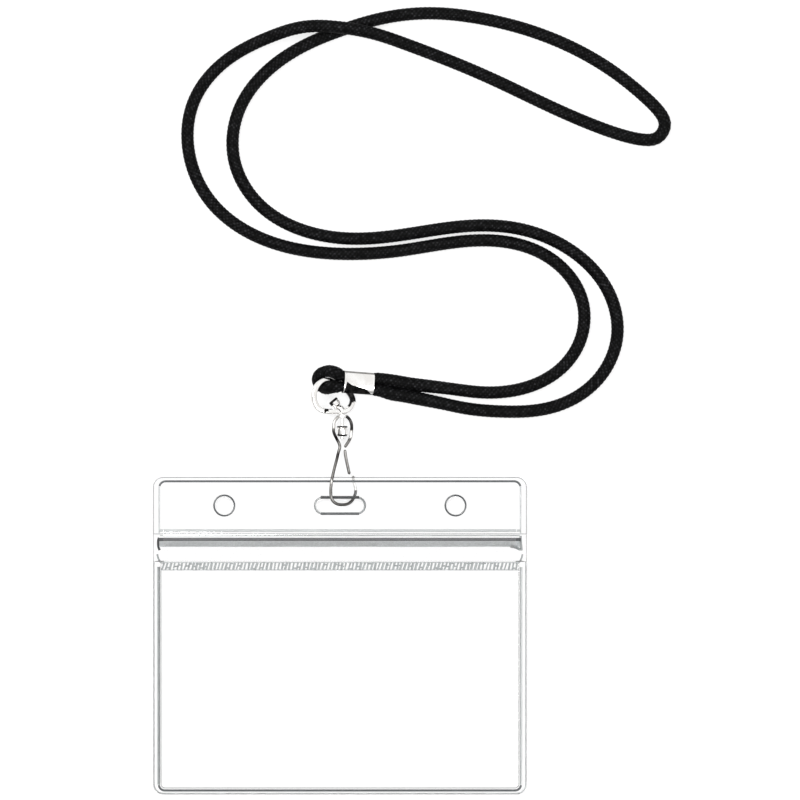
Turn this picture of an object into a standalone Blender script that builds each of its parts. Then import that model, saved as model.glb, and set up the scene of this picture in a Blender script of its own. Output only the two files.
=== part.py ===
"""Clear resealable badge sleeve on a round cord lanyard, modelled as it lies on a table.

Metres, +Z up, the table at Z = 0. The sleeve, hook, swivel ring and ferrule lie along Y, and the
lanyard's loop lies beyond them. The origin is under the middle of the sleeve and its fittings.
"""
from math import asin, cos, pi, radians, sin

import bmesh
import bpy
import numpy
from mathutils import Matrix, Vector

# Clearance kept between pieces that touch on the real object
SEAT_GAP = 0.0003
# How far a cutter runs past the faces that it cuts
OVERRUN = 0.001
# Nearest that two corners of one face may come, and the distance under which points are one
CORNER_GAP = 0.00003
MERGE_DISTANCE = 0.000003

# Sleeve of clear vinyl sheet
SLEEVE_WIDTH = 0.110
SLEEVE_HEIGHT = 0.0935
CORNER_RADIUS = 0.003
SHEET_THICKNESS = 0.00035
POCKET_DEPTH = 0.0009
POCKET_STEP = 0.0006
SIDE_WELD = 0.0018
BOTTOM_WELD = 0.0014
HEADER_HEIGHT = 0.0168
SLOT_LENGTH = 0.0148
SLOT_HEIGHT = 0.0048
SLOT_DROP = 0.00834
CHAIN_HOLE_DIAMETER = 0.006
CHAIN_HOLE_SPACING = 0.0681

# Press-to-close zip across the sleeve
ZIP_LENGTH = 0.1066
ZIP_BASE_THICKNESS = 0.0003
ZIP_BASE_HEIGHT = 0.0069
ZIP_WALL_THICKNESS = 0.0004
ZIP_WALL_RISE = 0.00055
ZIP_WALL_SPACING = 0.0019
ZIP_WALL_DROP = 0.0019
ZIP_TONGUE_THICKNESS = 0.0007
ZIP_STOP_LENGTH = 0.001
ZIP_STOP_CRUSH = 0.00014
ZIP_LIP_OVERLAP = 0.0013
MOUTH_DROP = 0.0249
FLANGE_HEIGHT = 0.0023
FLANGE_THICKNESS = 0.0002
KNURL_PITCH = 0.0011
KNURL_DEPTH = 0.00015

# Spring wire hook, in its own plane: shares of its reach sideways and of its length upwards
WIRE_DIAMETER = 0.0009
HOOK_LENGTH = 0.02667
HOOK_REACH = 0.00436
HOOK_TILT = radians(26)
HOOK_SAG = 0.00219
WIRE_STEP = 0.0009
ARM_SHARES = [
    (-0.204, 0.980), (-0.422, 0.953), (-0.594, 0.912), (-0.640, 0.856), (-0.640, 0.807),
    (-0.550, 0.768), (-0.400, 0.724), (-0.248, 0.680), (-0.181, 0.635), (-0.264, 0.590),
    (-0.369, 0.526), (-0.505, 0.447), (-0.654, 0.359), (-0.775, 0.275), (-0.842, 0.192),
    (-0.851, 0.121), (-0.775, 0.063), (-0.550, 0.022), (-0.227, 0.002), (0.076, 0.000),
    (0.413, 0.009), (0.683, 0.036), (0.865, 0.076), (0.993, 0.132), (0.984, 0.189),
    (0.870, 0.249), (0.830, 0.320),
]
EYE_SHARES = [
    (0.300, 0.976), (0.511, 0.950), (0.661, 0.909), (0.711, 0.852), (0.683, 0.796),
    (0.631, 0.747), (0.489, 0.702), (0.345, 0.668), (0.240, 0.644), (0.203, 0.630),
]
LATCH_SHARES = [
    (0.202, 0.609), (0.225, 0.569), (0.294, 0.504), (0.406, 0.425), (0.505, 0.359), (0.536, 0.334),
]

# Swivel: a rivet through the hook's collar and the ring's boss
SHANK_DIAMETER = 0.001
COLLAR_DIAMETER = 0.0032
COLLAR_HEIGHT = 0.0011
BARREL_DIAMETER = 0.0031
BARREL_LENGTH = 0.003
BARREL_CHAMFER = 0.00035
BARREL_DROP = 0.0024
RIVET_HEAD_DIAMETER = 0.0029
RIVET_HEAD_HEIGHT = 0.0034
RIVET_DOME_HEIGHT = 0.0008
RIVET_CONE_HEIGHT = 0.0014
RIVET_TAIL_DIAMETER = 0.0015
RIVET_TAIL_LENGTH = 0.0006
DOME_STEPS = 6
LATHE_STEPS = 20

# Ring that the cord's bight goes through: shares of its width and height from its flat foot
RING_WIDTH = 0.0125
RING_HEIGHT = 0.00915
RING_BAND = 0.0011
RING_DEPTH = 0.0016
RING_ROUNDING = 0.0004
RING_TILT = radians(24.1)
RING_DROP = 0.00851
RING_STEP = 0.0007
RING_SHARES = [
    (-0.013, 0), (-0.222, 0), (-0.444, 0), (-0.622, 0.103), (-0.718, 0.323), (-0.731, 0.544),
    (-0.677, 0.748), (-0.575, 0.921), (-0.444, 1), (-0.300, 0.984), (-0.118, 0.906),
    (0.065, 0.764), (0.196, 0.575), (0.269, 0.355), (0.217, 0.150), (0.118, 0.027),
]
BOSS_DIAMETER = 0.0028
BOSS_HEIGHT = 0.0014

# Oval ferrule crimped over both strands
FERRULE_LENGTH = 0.0094
FERRULE_WIDTH = 0.0064
FERRULE_HEIGHT = 0.0042
FERRULE_WALL = 0.00035
FERRULE_YAW = radians(-4.3)
FERRULE_PITCH = radians(21.5)
FERRULE_CENTRE = (0.00508, 0.05836, 0.00419)
SWIVEL_OFFSET = 0.0044

# Cord: its bight through the ring, then the long loop laid on the table
CORD_DIAMETER = 0.0035
BIGHT_DIAMETER = 0.0033
CRIMPED_DIAMETER = 0.0025
CRIMPED_SPACING = 0.0028
GRIP_SHARE = 0.67
STRAND_SPACING = 0.0038
TABLE_CLEARANCE = 0.00002
CROSSING = (0.0017, 0.163)
CROSSING_LIFT = 0.0038
CROSSING_REACH = 0.035
CORD_STEP = 0.0105
TIGHT_STEP = 0.0042
STEP_PER_RADIUS_SHARE = 0.7
LEAD_OUT = 0.003
BIGHT_STEP = 0.0014
BIGHT_ROUTE = [
    (-0.00243, 0.05625, 0.00565), (-0.0044, 0.0563, 0.00288), (-0.00613, 0.05774, 0.00185),
    (-0.00658, 0.05948, 0.00213), (-0.00567, 0.06099, 0.00253), (-0.00373, 0.06151, 0.00328),
    (-0.00219, 0.06136, 0.00511),
]
LANYARD_ROUTE = [
    (0.0206, 0.0541), (0.0486, 0.0499), (0.0648, 0.0520), (0.0763, 0.0601), (0.0816, 0.0732),
    (0.0779, 0.0871), (0.0658, 0.0989), (0.0474, 0.1044), (0.0091, 0.1011), (-0.0101, 0.1029),
    (-0.0258, 0.1130), (-0.0317, 0.1307), (-0.0233, 0.1484), (-0.0076, 0.1588), (0.0103, 0.1648),
    (0.0294, 0.1670), (0.0483, 0.1644), (0.0665, 0.1579), (0.0831, 0.1478), (0.0928, 0.1398),
    (0.0964, 0.1351), (0.0948, 0.1309), (0.0904, 0.1293), (0.0831, 0.1312), (0.0468, 0.1467),
    (0.0235, 0.1566), (0.0014, 0.1629), (-0.0390, 0.1479), (-0.0449, 0.1289), (-0.0354, 0.1087),
    (-0.0148, 0.0981), (0.0108, 0.0966), (0.0353, 0.1000), (0.0562, 0.0979), (0.0708, 0.0835),
    (0.0683, 0.0670), (0.0545, 0.0570), (0.0324, 0.0564),
]

# Layers of the sleeve, from its rear face
LAYER_FLOOR = SHEET_THICKNESS + SEAT_GAP
WINDOW_FLOOR = SHEET_THICKNESS + POCKET_DEPTH
WALL_TOP = LAYER_FLOOR + ZIP_BASE_THICKNESS + ZIP_WALL_RISE
CREST_FLOOR = WALL_TOP + SEAT_GAP
LIP_FLOOR = LAYER_FLOOR + SHEET_THICKNESS + SEAT_GAP

# Places along the sleeve, from its lower edge
MOUTH_Y = SLEEVE_HEIGHT - MOUTH_DROP
HEADER_Y = SLEEVE_HEIGHT - HEADER_HEIGHT
SLOT_Y = SLEEVE_HEIGHT - SLOT_DROP
ZIP_TOP_Y = HEADER_Y - SEAT_GAP
UPPER_WALL_Y = ZIP_TOP_Y - ZIP_WALL_DROP / 2

# Places on the table
SWIVEL_X = FERRULE_CENTRE[0] - SWIVEL_OFFSET
AXIS_HEIGHT = WIRE_DIAMETER / 2 + HOOK_REACH * sin(HOOK_TILT)
RING_FOOT_Y = FERRULE_CENTRE[1] - RING_DROP
BOSS_Y = RING_FOOT_Y - RING_BAND / 2
HOOK_TOP_Y = BOSS_Y - SEAT_GAP
COLLAR_Y = HOOK_TOP_Y - COLLAR_HEIGHT
BARREL_TOP_Y = COLLAR_Y - BARREL_DROP
HOOK_FOOT_Y = HOOK_TOP_Y - HOOK_LENGTH
LATCH_END_HEIGHT = AXIS_HEIGHT - LATCH_SHARES[-1][0] * HOOK_REACH * sin(HOOK_TILT)
SLEEVE_TILT = asin((LATCH_END_HEIGHT + WIRE_DIAMETER / 2 + SEAT_GAP) / SLEEVE_HEIGHT)
SLOT_TOP_Y = HOOK_FOOT_Y + HOOK_SAG
SLEEVE_Y = SLOT_TOP_Y - (SLOT_Y + SLOT_HEIGHT / 2) * cos(SLEEVE_TILT)
SWIVEL_PLACE = Matrix.Translation((SWIVEL_X, 0, AXIS_HEIGHT))
HOOK_PLACE = SWIVEL_PLACE @ Matrix.Rotation(HOOK_TILT, 4, "Y")
RING_PLACE = SWIVEL_PLACE @ Matrix.Rotation(RING_TILT, 4, "Y")
SLEEVE_PLACE = Matrix.Translation((0, SLEEVE_Y, 0)) @ Matrix.Rotation(SLEEVE_TILT, 4, "X")
FERRULE_TURN = Matrix.Rotation(FERRULE_YAW, 4, "Z") @ Matrix.Rotation(FERRULE_PITCH, 4, "Y")
FERRULE_PLACE = Matrix.Translation(FERRULE_CENTRE) @ FERRULE_TURN


def clear_scene():
    """Remove every object that the scene starts with."""
    for item in list(bpy.data.objects):
        bpy.data.objects.remove(item, do_unlink=True)


def natural_spline(points):
    """Return the distances at which a natural cubic spline meets its points, and the spline."""
    points = numpy.array(points, dtype=float)
    chords = numpy.linalg.norm(numpy.diff(points, axis=0), axis=1)
    knots = numpy.concatenate([[0], numpy.cumsum(chords)])
    system = numpy.eye(len(points))
    pulls = numpy.zeros_like(points)
    for index in range(1, len(points) - 1):
        before, after = chords[index - 1], chords[index]
        system[index, index - 1:index + 2] = before, 2 * (before + after), after
        rise = (points[index + 1] - points[index]) / after
        pulls[index] = 6 * (rise - (points[index] - points[index - 1]) / before)
    bends = numpy.linalg.solve(system, pulls)

    def spline(distance):
        piece = min(max(int(numpy.searchsorted(knots, distance, side="right")) - 1, 0), len(chords) - 1)
        chord = chords[piece]
        near = (knots[piece + 1] - distance) / chord
        far = 1 - near
        bend = (near ** 3 - near) * bends[piece] + (far ** 3 - far) * bends[piece + 1]
        return near * points[piece] + far * points[piece + 1] + bend * chord ** 2 / 6

    return knots, spline


def even_points(points, step):
    """Points about one step apart on a smooth curve through points."""
    knots, spline = natural_spline(points)
    count = max(2, round(knots[-1] / step))
    return [spline(knots[-1] * index / count) for index in range(count + 1)]


def even_loop(points, step):
    """Points about one step apart on a smooth closed curve through points."""
    wrap = 3
    knots, spline = natural_spline(points[-wrap:] + points + points[:wrap + 1])
    start, length = knots[wrap], knots[wrap + len(points)] - knots[wrap]
    count = round(length / step)
    return [spline(start + length * index / count) for index in range(count)]


def material(name, colour, roughness, metallic=0.0, transmission=0.0):
    """A Principled material for one sub-part."""
    made = bpy.data.materials.new(name)
    made.use_nodes = True
    shader = made.node_tree.nodes["Principled BSDF"]
    shader.inputs["Base Color"].default_value = (*colour, 1)
    shader.inputs["Roughness"].default_value = roughness
    shader.inputs["Metallic"].default_value = metallic
    shader.inputs["Transmission Weight"].default_value = transmission
    return made


def vinyl(name):
    return material(name, (0.86, 0.88, 0.88), 0.12, transmission=0.85)


def nickel(name):
    return material(name, (0.62, 0.61, 0.58), 0.22, metallic=1.0)


def braid(name):
    return material(name, (0.012, 0.012, 0.013), 0.8)


def pivot(name, place, carrier=None):
    """An empty on a joint's axis, which carries what the joint moves."""
    empty = bpy.data.objects.new(name, None)
    bpy.context.collection.objects.link(empty)
    empty.location = place
    hang(empty, carrier)
    return empty


def hang(item, carrier):
    """Parent item to an unturned empty and leave it where it is."""
    if carrier:
        item.parent = carrier
        item.matrix_parent_inverse = Matrix.Translation(carrier.location).inverted()


def add_object(name, data, finish=None, carrier=None, place=None):
    """Link an object, at place if that is given."""
    item = bpy.data.objects.new(name, data)
    bpy.context.collection.objects.link(item)
    if finish:
        data.materials.append(finish)
    if place:
        item.location = place.to_translation()
        item.rotation_euler = place.to_euler()
    hang(item, carrier)
    return item


def finished_mesh(name, bm, smooth=False):
    """Turn a closed bmesh into a mesh with its faces outwards."""
    bmesh.ops.recalc_face_normals(bm, faces=bm.faces)
    mesh = bpy.data.meshes.new(name)
    bm.to_mesh(mesh)
    bm.free()
    if smooth:
        mesh.shade_smooth()
        mesh.set_sharp_from_angle(angle=radians(35))
    return mesh


def boolean(item, tool, operation):
    """Cut or join item with a tool, which is hidden."""
    tool.hide_render = True
    tool.display_type = "WIRE"
    modifier = item.modifiers.new(tool.name, "BOOLEAN")
    modifier.object = tool
    modifier.operation = operation
    modifier.solver = "EXACT"


def outline_face(bm, corners, height):
    """A flat face at one height from (x, y) corners."""
    return bm.faces.new([bm.verts.new((x, y, height)) for x, y in corners])


def raise_face(bm, face, rise):
    """Extrude a face into a solid."""
    grown = bmesh.ops.extrude_face_region(bm, geom=[face])
    moved = [part for part in grown["geom"] if isinstance(part, bmesh.types.BMVert)]
    bmesh.ops.translate(bm, verts=moved, vec=rise)


def rounded_corners(width, low, high, radius, corners="all", steps=6):
    """Corners of a rectangle from low to high in y, rounded all round or only at the named end."""
    half = width / 2
    outline = []
    for x, y, start, end in [(half, high, 0, "high"), (-half, high, 90, "high"),
                             (-half, low, 180, "low"), (half, low, 270, "low")]:
        if corners not in ("all", end):
            outline.append((x, y))
            continue
        centre_x = x - radius if x > 0 else x + radius
        centre_y = y - radius if y > (low + high) / 2 else y + radius
        for step in range(steps + 1):
            angle = radians(start + 90 * step / steps)
            outline.append((centre_x + radius * cos(angle), centre_y + radius * sin(angle)))
    return outline


def plate(name, corners, floor, thickness):
    """A flat sheet of one thickness."""
    bm = bmesh.new()
    raise_face(bm, outline_face(bm, corners, floor), (0, 0, thickness))
    return finished_mesh(name, bm)


def extruded(name, profile, length):
    """A (y, z) profile run along X, half to each side."""
    bm = bmesh.new()
    face = bm.faces.new([bm.verts.new((-length / 2, y, z)) for y, z in profile])
    raise_face(bm, face, (length, 0, 0))
    return finished_mesh(name, bm)


def turned(name, profile):
    """A (radius, y) profile turned round the Y axis; it may start and end on the axis."""
    bm = bmesh.new()
    points = [bm.verts.new((radius, y, 0)) for radius, y in profile]
    edges = [bm.edges.new(pair) for pair in zip(points, points[1:])]
    if profile[0][0] > 0:
        edges.append(bm.edges.new((points[-1], points[0])))
    bmesh.ops.spin(bm, geom=points + edges, cent=(0, 0, 0), axis=(0, 1, 0), dvec=(0, 0, 0),
                   angle=2 * pi, steps=LATHE_STEPS, use_merge=True, use_duplicate=False)
    bmesh.ops.remove_doubles(bm, verts=bm.verts, dist=MERGE_DISTANCE)
    return finished_mesh(name, bm, smooth=True)


def cord_curve(name, points, diameter, shares=None):
    """A round tube with closed ends through points; shares thin it at each point."""
    curve = bpy.data.curves.new(name, "CURVE")
    curve.dimensions = "3D"
    curve.bevel_depth = diameter / 2
    curve.bevel_resolution = 2
    curve.use_fill_caps = True
    spline = curve.splines.new("POLY")
    spline.points.add(len(points) - 1)
    for index, point in enumerate(points):
        spline.points[index].co = (*point, 1)
        spline.points[index].radius = shares[index] if shares else 1
    return curve


def mesh_of_curve(name, curve):
    """The closed mesh of a curve with a bevel."""
    source = bpy.data.objects.new(name, curve)
    bpy.context.collection.objects.link(source)
    depsgraph = bpy.context.evaluated_depsgraph_get()
    mesh = bpy.data.meshes.new_from_object(source.evaluated_get(depsgraph))
    bpy.data.objects.remove(source)
    bm = bmesh.new()
    bm.from_mesh(mesh)
    bpy.data.meshes.remove(mesh)
    bmesh.ops.remove_doubles(bm, verts=bm.verts, dist=MERGE_DISTANCE)
    return finished_mesh(name, bm, smooth=True)


def sleeve_punches(place, carrier):
    """Cutters for the strap slot and the two chain holes."""
    top = WINDOW_FLOOR + OVERRUN
    bm = bmesh.new()
    slot = rounded_corners(SLOT_LENGTH, SLOT_Y - SLOT_HEIGHT / 2, SLOT_Y + SLOT_HEIGHT / 2,
                           SLOT_HEIGHT / 2 - CORNER_GAP)
    raise_face(bm, outline_face(bm, slot, -OVERRUN), (0, 0, top + OVERRUN))
    depth = top + OVERRUN
    for side in (-1, 1):
        middle = Matrix.Translation((side * CHAIN_HOLE_SPACING / 2, SLOT_Y, top - depth / 2))
        radius = CHAIN_HOLE_DIAMETER / 2
        bmesh.ops.create_cone(bm, cap_ends=True, segments=24, radius1=radius, radius2=radius,
                              depth=depth, matrix=middle)
    return add_object("punches", finished_mesh("punches", bm), carrier=carrier, place=place)


def make_sheets(place, carrier):
    """The rear sheet, the header's second layer, and the raised window welded round its edge."""
    punches = sleeve_punches(place, carrier)
    whole = rounded_corners(SLEEVE_WIDTH, 0, SLEEVE_HEIGHT, CORNER_RADIUS)
    rear = add_object("rear_sheet", plate("rear_sheet", whole, 0, SHEET_THICKNESS),
                      vinyl("rear_vinyl"), carrier, place)
    boolean(rear, punches, "DIFFERENCE")
    top = rounded_corners(SLEEVE_WIDTH, HEADER_Y, SLEEVE_HEIGHT, CORNER_RADIUS, corners="high")
    header = add_object("header_sheet", plate("header_sheet", top, LAYER_FLOOR, SHEET_THICKNESS),
                        vinyl("header_vinyl"), carrier, place)
    boolean(header, punches, "DIFFERENCE")
    window_sheet(place, carrier)


def window_sheet(place, carrier):
    """The pocket's front: a rim on the welds, a step up, and the window, open at the mouth."""
    rim_width = SLEEVE_WIDTH - 2 * SIDE_WELD
    fold_radius = CORNER_RADIUS - BOTTOM_WELD
    outer = rounded_corners(SLEEVE_WIDTH, 0, MOUTH_Y, CORNER_RADIUS, "low")
    rim = rounded_corners(rim_width, BOTTOM_WELD, MOUTH_Y, fold_radius, "low")
    raised = rounded_corners(rim_width - 2 * POCKET_STEP, BOTTOM_WELD + POCKET_STEP, MOUTH_Y,
                             fold_radius, "low")
    bm = bmesh.new()
    loops = [outline_loop(bm, outer, LAYER_FLOOR), outline_loop(bm, rim, LAYER_FLOOR),
             outline_loop(bm, raised, WINDOW_FLOOR)]
    for first, second in zip(loops, loops[1:]):
        bmesh.ops.bridge_loops(bm, edges=first + second)
    bmesh.ops.contextual_create(bm, geom=loops[-1])
    doomed = [face for face in bm.faces if all(abs(v.co.y - MOUTH_Y) < SEAT_GAP for v in face.verts)]
    bmesh.ops.delete(bm, geom=doomed, context="FACES")
    bmesh.ops.recalc_face_normals(bm, faces=bm.faces)
    if sum(face.normal.z for face in bm.faces) < 0:
        bmesh.ops.reverse_faces(bm, faces=bm.faces)
    mesh = bpy.data.meshes.new("window_sheet")
    bm.to_mesh(mesh)
    bm.free()
    window = add_object("window_sheet", mesh, vinyl("window_vinyl"), carrier, place)
    solid = window.modifiers.new("thickness", "SOLIDIFY")
    solid.thickness = SHEET_THICKNESS
    solid.offset = 1


def outline_loop(bm, corners, height):
    """A closed loop of edges at one height."""
    points = [bm.verts.new((x, y, height)) for x, y in corners]
    return [bm.edges.new(pair) for pair in zip(points, points[1:] + points[:1])]


def zip_rear_strip(place, carrier):
    """The rear half of the zip: a base with two walls, closed at both ends by crushed stops."""
    floor = LAYER_FLOOR + ZIP_BASE_THICKNESS
    low_y = ZIP_TOP_Y - ZIP_BASE_HEIGHT
    profile = [(low_y, LAYER_FLOOR), (ZIP_TOP_Y, LAYER_FLOOR), (ZIP_TOP_Y, floor)]
    for middle in (UPPER_WALL_Y, UPPER_WALL_Y - ZIP_WALL_SPACING):
        high, low = middle + ZIP_WALL_THICKNESS / 2, middle - ZIP_WALL_THICKNESS / 2
        profile += [(high, floor), (high, WALL_TOP), (low, WALL_TOP), (low, floor)]
    profile.append((low_y, floor))
    strip = add_object("zip_rear_strip", extruded("zip_rear_strip", profile, ZIP_LENGTH),
                       vinyl("zip_rear_vinyl"), carrier, place)
    bm = bmesh.new()
    low_z, high_z = LAYER_FLOOR + ZIP_BASE_THICKNESS / 2, WALL_TOP - ZIP_STOP_CRUSH
    for side in (-1, 1):
        middle = (side * (ZIP_LENGTH - ZIP_STOP_LENGTH) / 2, UPPER_WALL_Y - ZIP_WALL_SPACING / 2,
                  (low_z + high_z) / 2)
        size = (ZIP_STOP_LENGTH - CORNER_GAP, ZIP_WALL_SPACING, high_z - low_z)
        bmesh.ops.create_cube(bm, size=1, matrix=Matrix.LocRotScale(Vector(middle), None, Vector(size)))
    stops = add_object("zip_stops", finished_mesh("zip_stops", bm), None, carrier, place)
    boolean(strip, stops, "UNION")


def zip_front_strip(place, carrier):
    """The front half of the zip: it leaves the mouth, rises over the walls and ends in a lip."""
    half = SHEET_THICKNESS / 2
    low_y = MOUTH_Y + SHEET_THICKNESS
    high_y = HEADER_Y + ZIP_LIP_OVERLAP
    crest_low_y = UPPER_WALL_Y - ZIP_WALL_SPACING - ZIP_WALL_THICKNESS - SEAT_GAP
    crest_high_y = UPPER_WALL_Y + ZIP_WALL_THICKNESS + SEAT_GAP
    middles = [(low_y, WINDOW_FLOOR + half), ((low_y + crest_low_y) / 2, WALL_TOP + half),
               (crest_low_y, CREST_FLOOR + half), (crest_high_y, CREST_FLOOR + half),
               ((crest_high_y + high_y) / 2, LIP_FLOOR + 2 * half), (high_y, LIP_FLOOR + half)]
    upper = [(y, z + half) for y, z in middles]
    tongue_y = UPPER_WALL_Y - ZIP_WALL_SPACING / 2
    tongue_low, tongue_high = tongue_y - ZIP_TONGUE_THICKNESS / 2, tongue_y + ZIP_TONGUE_THICKNESS / 2
    tongue_foot = LAYER_FLOOR + ZIP_BASE_THICKNESS + SEAT_GAP
    lower = [(y, z - half) for y, z in middles]
    tongue = [(tongue_low, CREST_FLOOR), (tongue_low, tongue_foot), (tongue_high, tongue_foot),
              (tongue_high, CREST_FLOOR)]
    profile = lower[:3] + tongue + lower[3:] + upper[::-1]
    length = ZIP_LENGTH - 2 * ZIP_STOP_LENGTH - 2 * SEAT_GAP
    add_object("zip_front_strip", extruded("zip_front_strip", profile, length),
               vinyl("zip_front_vinyl"), carrier, place)


def zip_weld_flange(place, carrier):
    """The front strip's lower flange, its face knurled by the weld."""
    length = SLEEVE_WIDTH - 2 * (SIDE_WELD + POCKET_STEP)
    floor = WINDOW_FLOOR + SHEET_THICKNESS + SEAT_GAP
    crest = floor + FLANGE_THICKNESS + KNURL_DEPTH
    count = round(length / KNURL_PITCH)
    bm = bmesh.new()
    outline = [(-length / 2, floor), (length / 2, floor)]
    for step in range(2 * count + 1):
        height = crest if step % 2 else crest - KNURL_DEPTH
        outline.append((length / 2 - step * length / (2 * count), height))
    low_y = MOUTH_Y - FLANGE_HEIGHT
    face = bm.faces.new([bm.verts.new((x, low_y, z)) for x, z in outline])
    raise_face(bm, face, (0, FLANGE_HEIGHT, 0))
    add_object("zip_weld_flange", finished_mesh("zip_weld_flange", bm), vinyl("flange_vinyl"),
               carrier, place)


def hook_points(shares):
    """Points of a wire in the hook's plane, which holds the swivel's axis."""
    return even_points([(side * HOOK_REACH, HOOK_FOOT_Y + rise * HOOK_LENGTH, 0)
                        for side, rise in shares], WIRE_STEP)


def hook_wire(name, shares):
    return mesh_of_curve(name, cord_curve(name, hook_points(shares), WIRE_DIAMETER))


def swivel_cylinder(name, diameter, low, high):
    """A cylinder round the swivel's axis."""
    return turned(name, [(0, high), (diameter / 2, high), (diameter / 2, low), (0, low)])


def make_hook(carrier, latch_carrier):
    """The bent wire with its pierced collar, and the spring latch that closes its mouth."""
    bow = add_object("hook_bow", hook_wire("hook_bow", ARM_SHARES), nickel("hook_nickel"),
                     carrier, HOOK_PLACE)
    eye = add_object("eye_wire", hook_wire("eye_wire", EYE_SHARES), None, carrier, HOOK_PLACE)
    collar = add_object("collar", swivel_cylinder("collar", COLLAR_DIAMETER, COLLAR_Y, HOOK_TOP_Y),
                        None, carrier, HOOK_PLACE)
    bore = add_object("collar_bore", bore_mesh("collar_bore"), None, carrier, HOOK_PLACE)
    boolean(bow, eye, "UNION")
    boolean(bow, collar, "UNION")
    boolean(bow, bore, "DIFFERENCE")
    add_object("hook_latch", hook_wire("hook_latch", LATCH_SHARES), nickel("latch_nickel"),
               latch_carrier, HOOK_PLACE)


def bore_mesh(name):
    """The shank's running hole through the collar and the ring's boss."""
    diameter = SHANK_DIAMETER + 2 * SEAT_GAP
    return swivel_cylinder(name, diameter, COLLAR_Y - OVERRUN, BOSS_Y + BOSS_HEIGHT + OVERRUN)


def make_rivet(carrier):
    """The rivet, from its domed head inside the ring to its tail below the barrel."""
    shank = SHANK_DIAMETER / 2
    head = RIVET_HEAD_DIAMETER / 2
    seat = BOSS_Y + BOSS_HEIGHT + SEAT_GAP
    top = seat + RIVET_HEAD_HEIGHT
    barrel_foot = BARREL_TOP_Y - BARREL_LENGTH
    tail_top = barrel_foot - SEAT_GAP
    tail = RIVET_TAIL_DIAMETER / 2
    turns = [pi / 2 * step / DOME_STEPS for step in range(DOME_STEPS + 1)]
    dome = [(head * sin(turn), top - RIVET_DOME_HEIGHT * (1 - cos(turn))) for turn in turns]
    profile = dome + [(head, seat + RIVET_CONE_HEIGHT), (shank + SEAT_GAP, seat), (shank, seat),
                      (shank, tail_top), (tail, tail_top), (tail, tail_top - RIVET_TAIL_LENGTH / 2),
                      (tail / 2, tail_top - RIVET_TAIL_LENGTH), (0, tail_top - RIVET_TAIL_LENGTH)]
    add_object("swivel_rivet", turned("swivel_rivet", profile), nickel("rivet_nickel"),
               carrier, SWIVEL_PLACE)
    bore = shank + SEAT_GAP
    outer = BARREL_DIAMETER / 2
    barrel = [(bore, BARREL_TOP_Y), (outer, BARREL_TOP_Y), (outer, barrel_foot + BARREL_CHAMFER),
              (outer - BARREL_CHAMFER, barrel_foot), (bore, barrel_foot)]
    add_object("swivel_barrel", turned("swivel_barrel", barrel), nickel("barrel_nickel"),
               carrier, SWIVEL_PLACE)


def make_ring(carrier):
    """The ring: an oval of rounded band round the cord, joined to a bored boss at its foot."""
    outline = [(side * RING_WIDTH, RING_FOOT_Y + rise * RING_HEIGHT, 0) for side, rise in RING_SHARES]
    points = even_loop(outline, RING_STEP)
    band = bpy.data.curves.new("ring_band", "CURVE")
    band.dimensions = "2D"
    section = band.splines.new("POLY")
    corners = rounded_corners(RING_BAND, -RING_DEPTH / 2, RING_DEPTH / 2, RING_ROUNDING, steps=2)
    section.points.add(len(corners) - 1)
    for index, (x, y) in enumerate(corners):
        section.points[index].co = (x, y, 0, 1)
    section.use_cyclic_u = True
    guide = add_object("ring_band", band, None, carrier)
    guide.hide_render = True
    guide.display_type = "WIRE"
    curve = bpy.data.curves.new("swivel_ring", "CURVE")
    curve.dimensions = "3D"
    curve.twist_mode = "Z_UP"
    curve.bevel_mode = "OBJECT"
    curve.bevel_object = guide
    path = curve.splines.new("POLY")
    path.points.add(len(points) - 1)
    for index, point in enumerate(points):
        path.points[index].co = (*point, 1)
    path.use_cyclic_u = True
    ring = add_object("swivel_ring", mesh_of_curve("swivel_ring", curve), nickel("ring_nickel"),
                      carrier, RING_PLACE)
    boss = add_object("ring_boss", swivel_cylinder("ring_boss", BOSS_DIAMETER, BOSS_Y,
                                                   BOSS_Y + BOSS_HEIGHT), None, carrier, RING_PLACE)
    bore = add_object("boss_bore", bore_mesh("boss_bore"), None, carrier, RING_PLACE)
    boolean(ring, boss, "UNION")
    boolean(ring, bore, "DIFFERENCE")


def make_ferrule():
    """The flat oval sleeve of sheet metal crimped over both strands."""
    bm = bmesh.new()
    rounds = []
    for width, height in [(FERRULE_WIDTH, FERRULE_HEIGHT),
                          (FERRULE_WIDTH - 2 * FERRULE_WALL, FERRULE_HEIGHT - 2 * FERRULE_WALL)]:
        oval = rounded_corners(height, -width / 2, width / 2, height / 2 - CORNER_GAP)
        rounds.append(outline_loop(bm, oval, 0))
    ends = bmesh.ops.bridge_loops(bm, edges=rounds[0] + rounds[1])["faces"]
    grown = bmesh.ops.extrude_face_region(bm, geom=ends)
    moved = [part for part in grown["geom"] if isinstance(part, bmesh.types.BMVert)]
    bmesh.ops.translate(bm, verts=moved, vec=(0, 0, FERRULE_LENGTH))
    bmesh.ops.translate(bm, verts=bm.verts, vec=(0, 0, -FERRULE_LENGTH / 2))
    bmesh.ops.transform(bm, verts=bm.verts, matrix=Matrix.Rotation(pi / 2, 4, "Y"))
    add_object("crimp_ferrule", finished_mesh("crimp_ferrule", bm, smooth=True),
               nickel("ferrule_nickel"), None, FERRULE_PLACE)


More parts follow.
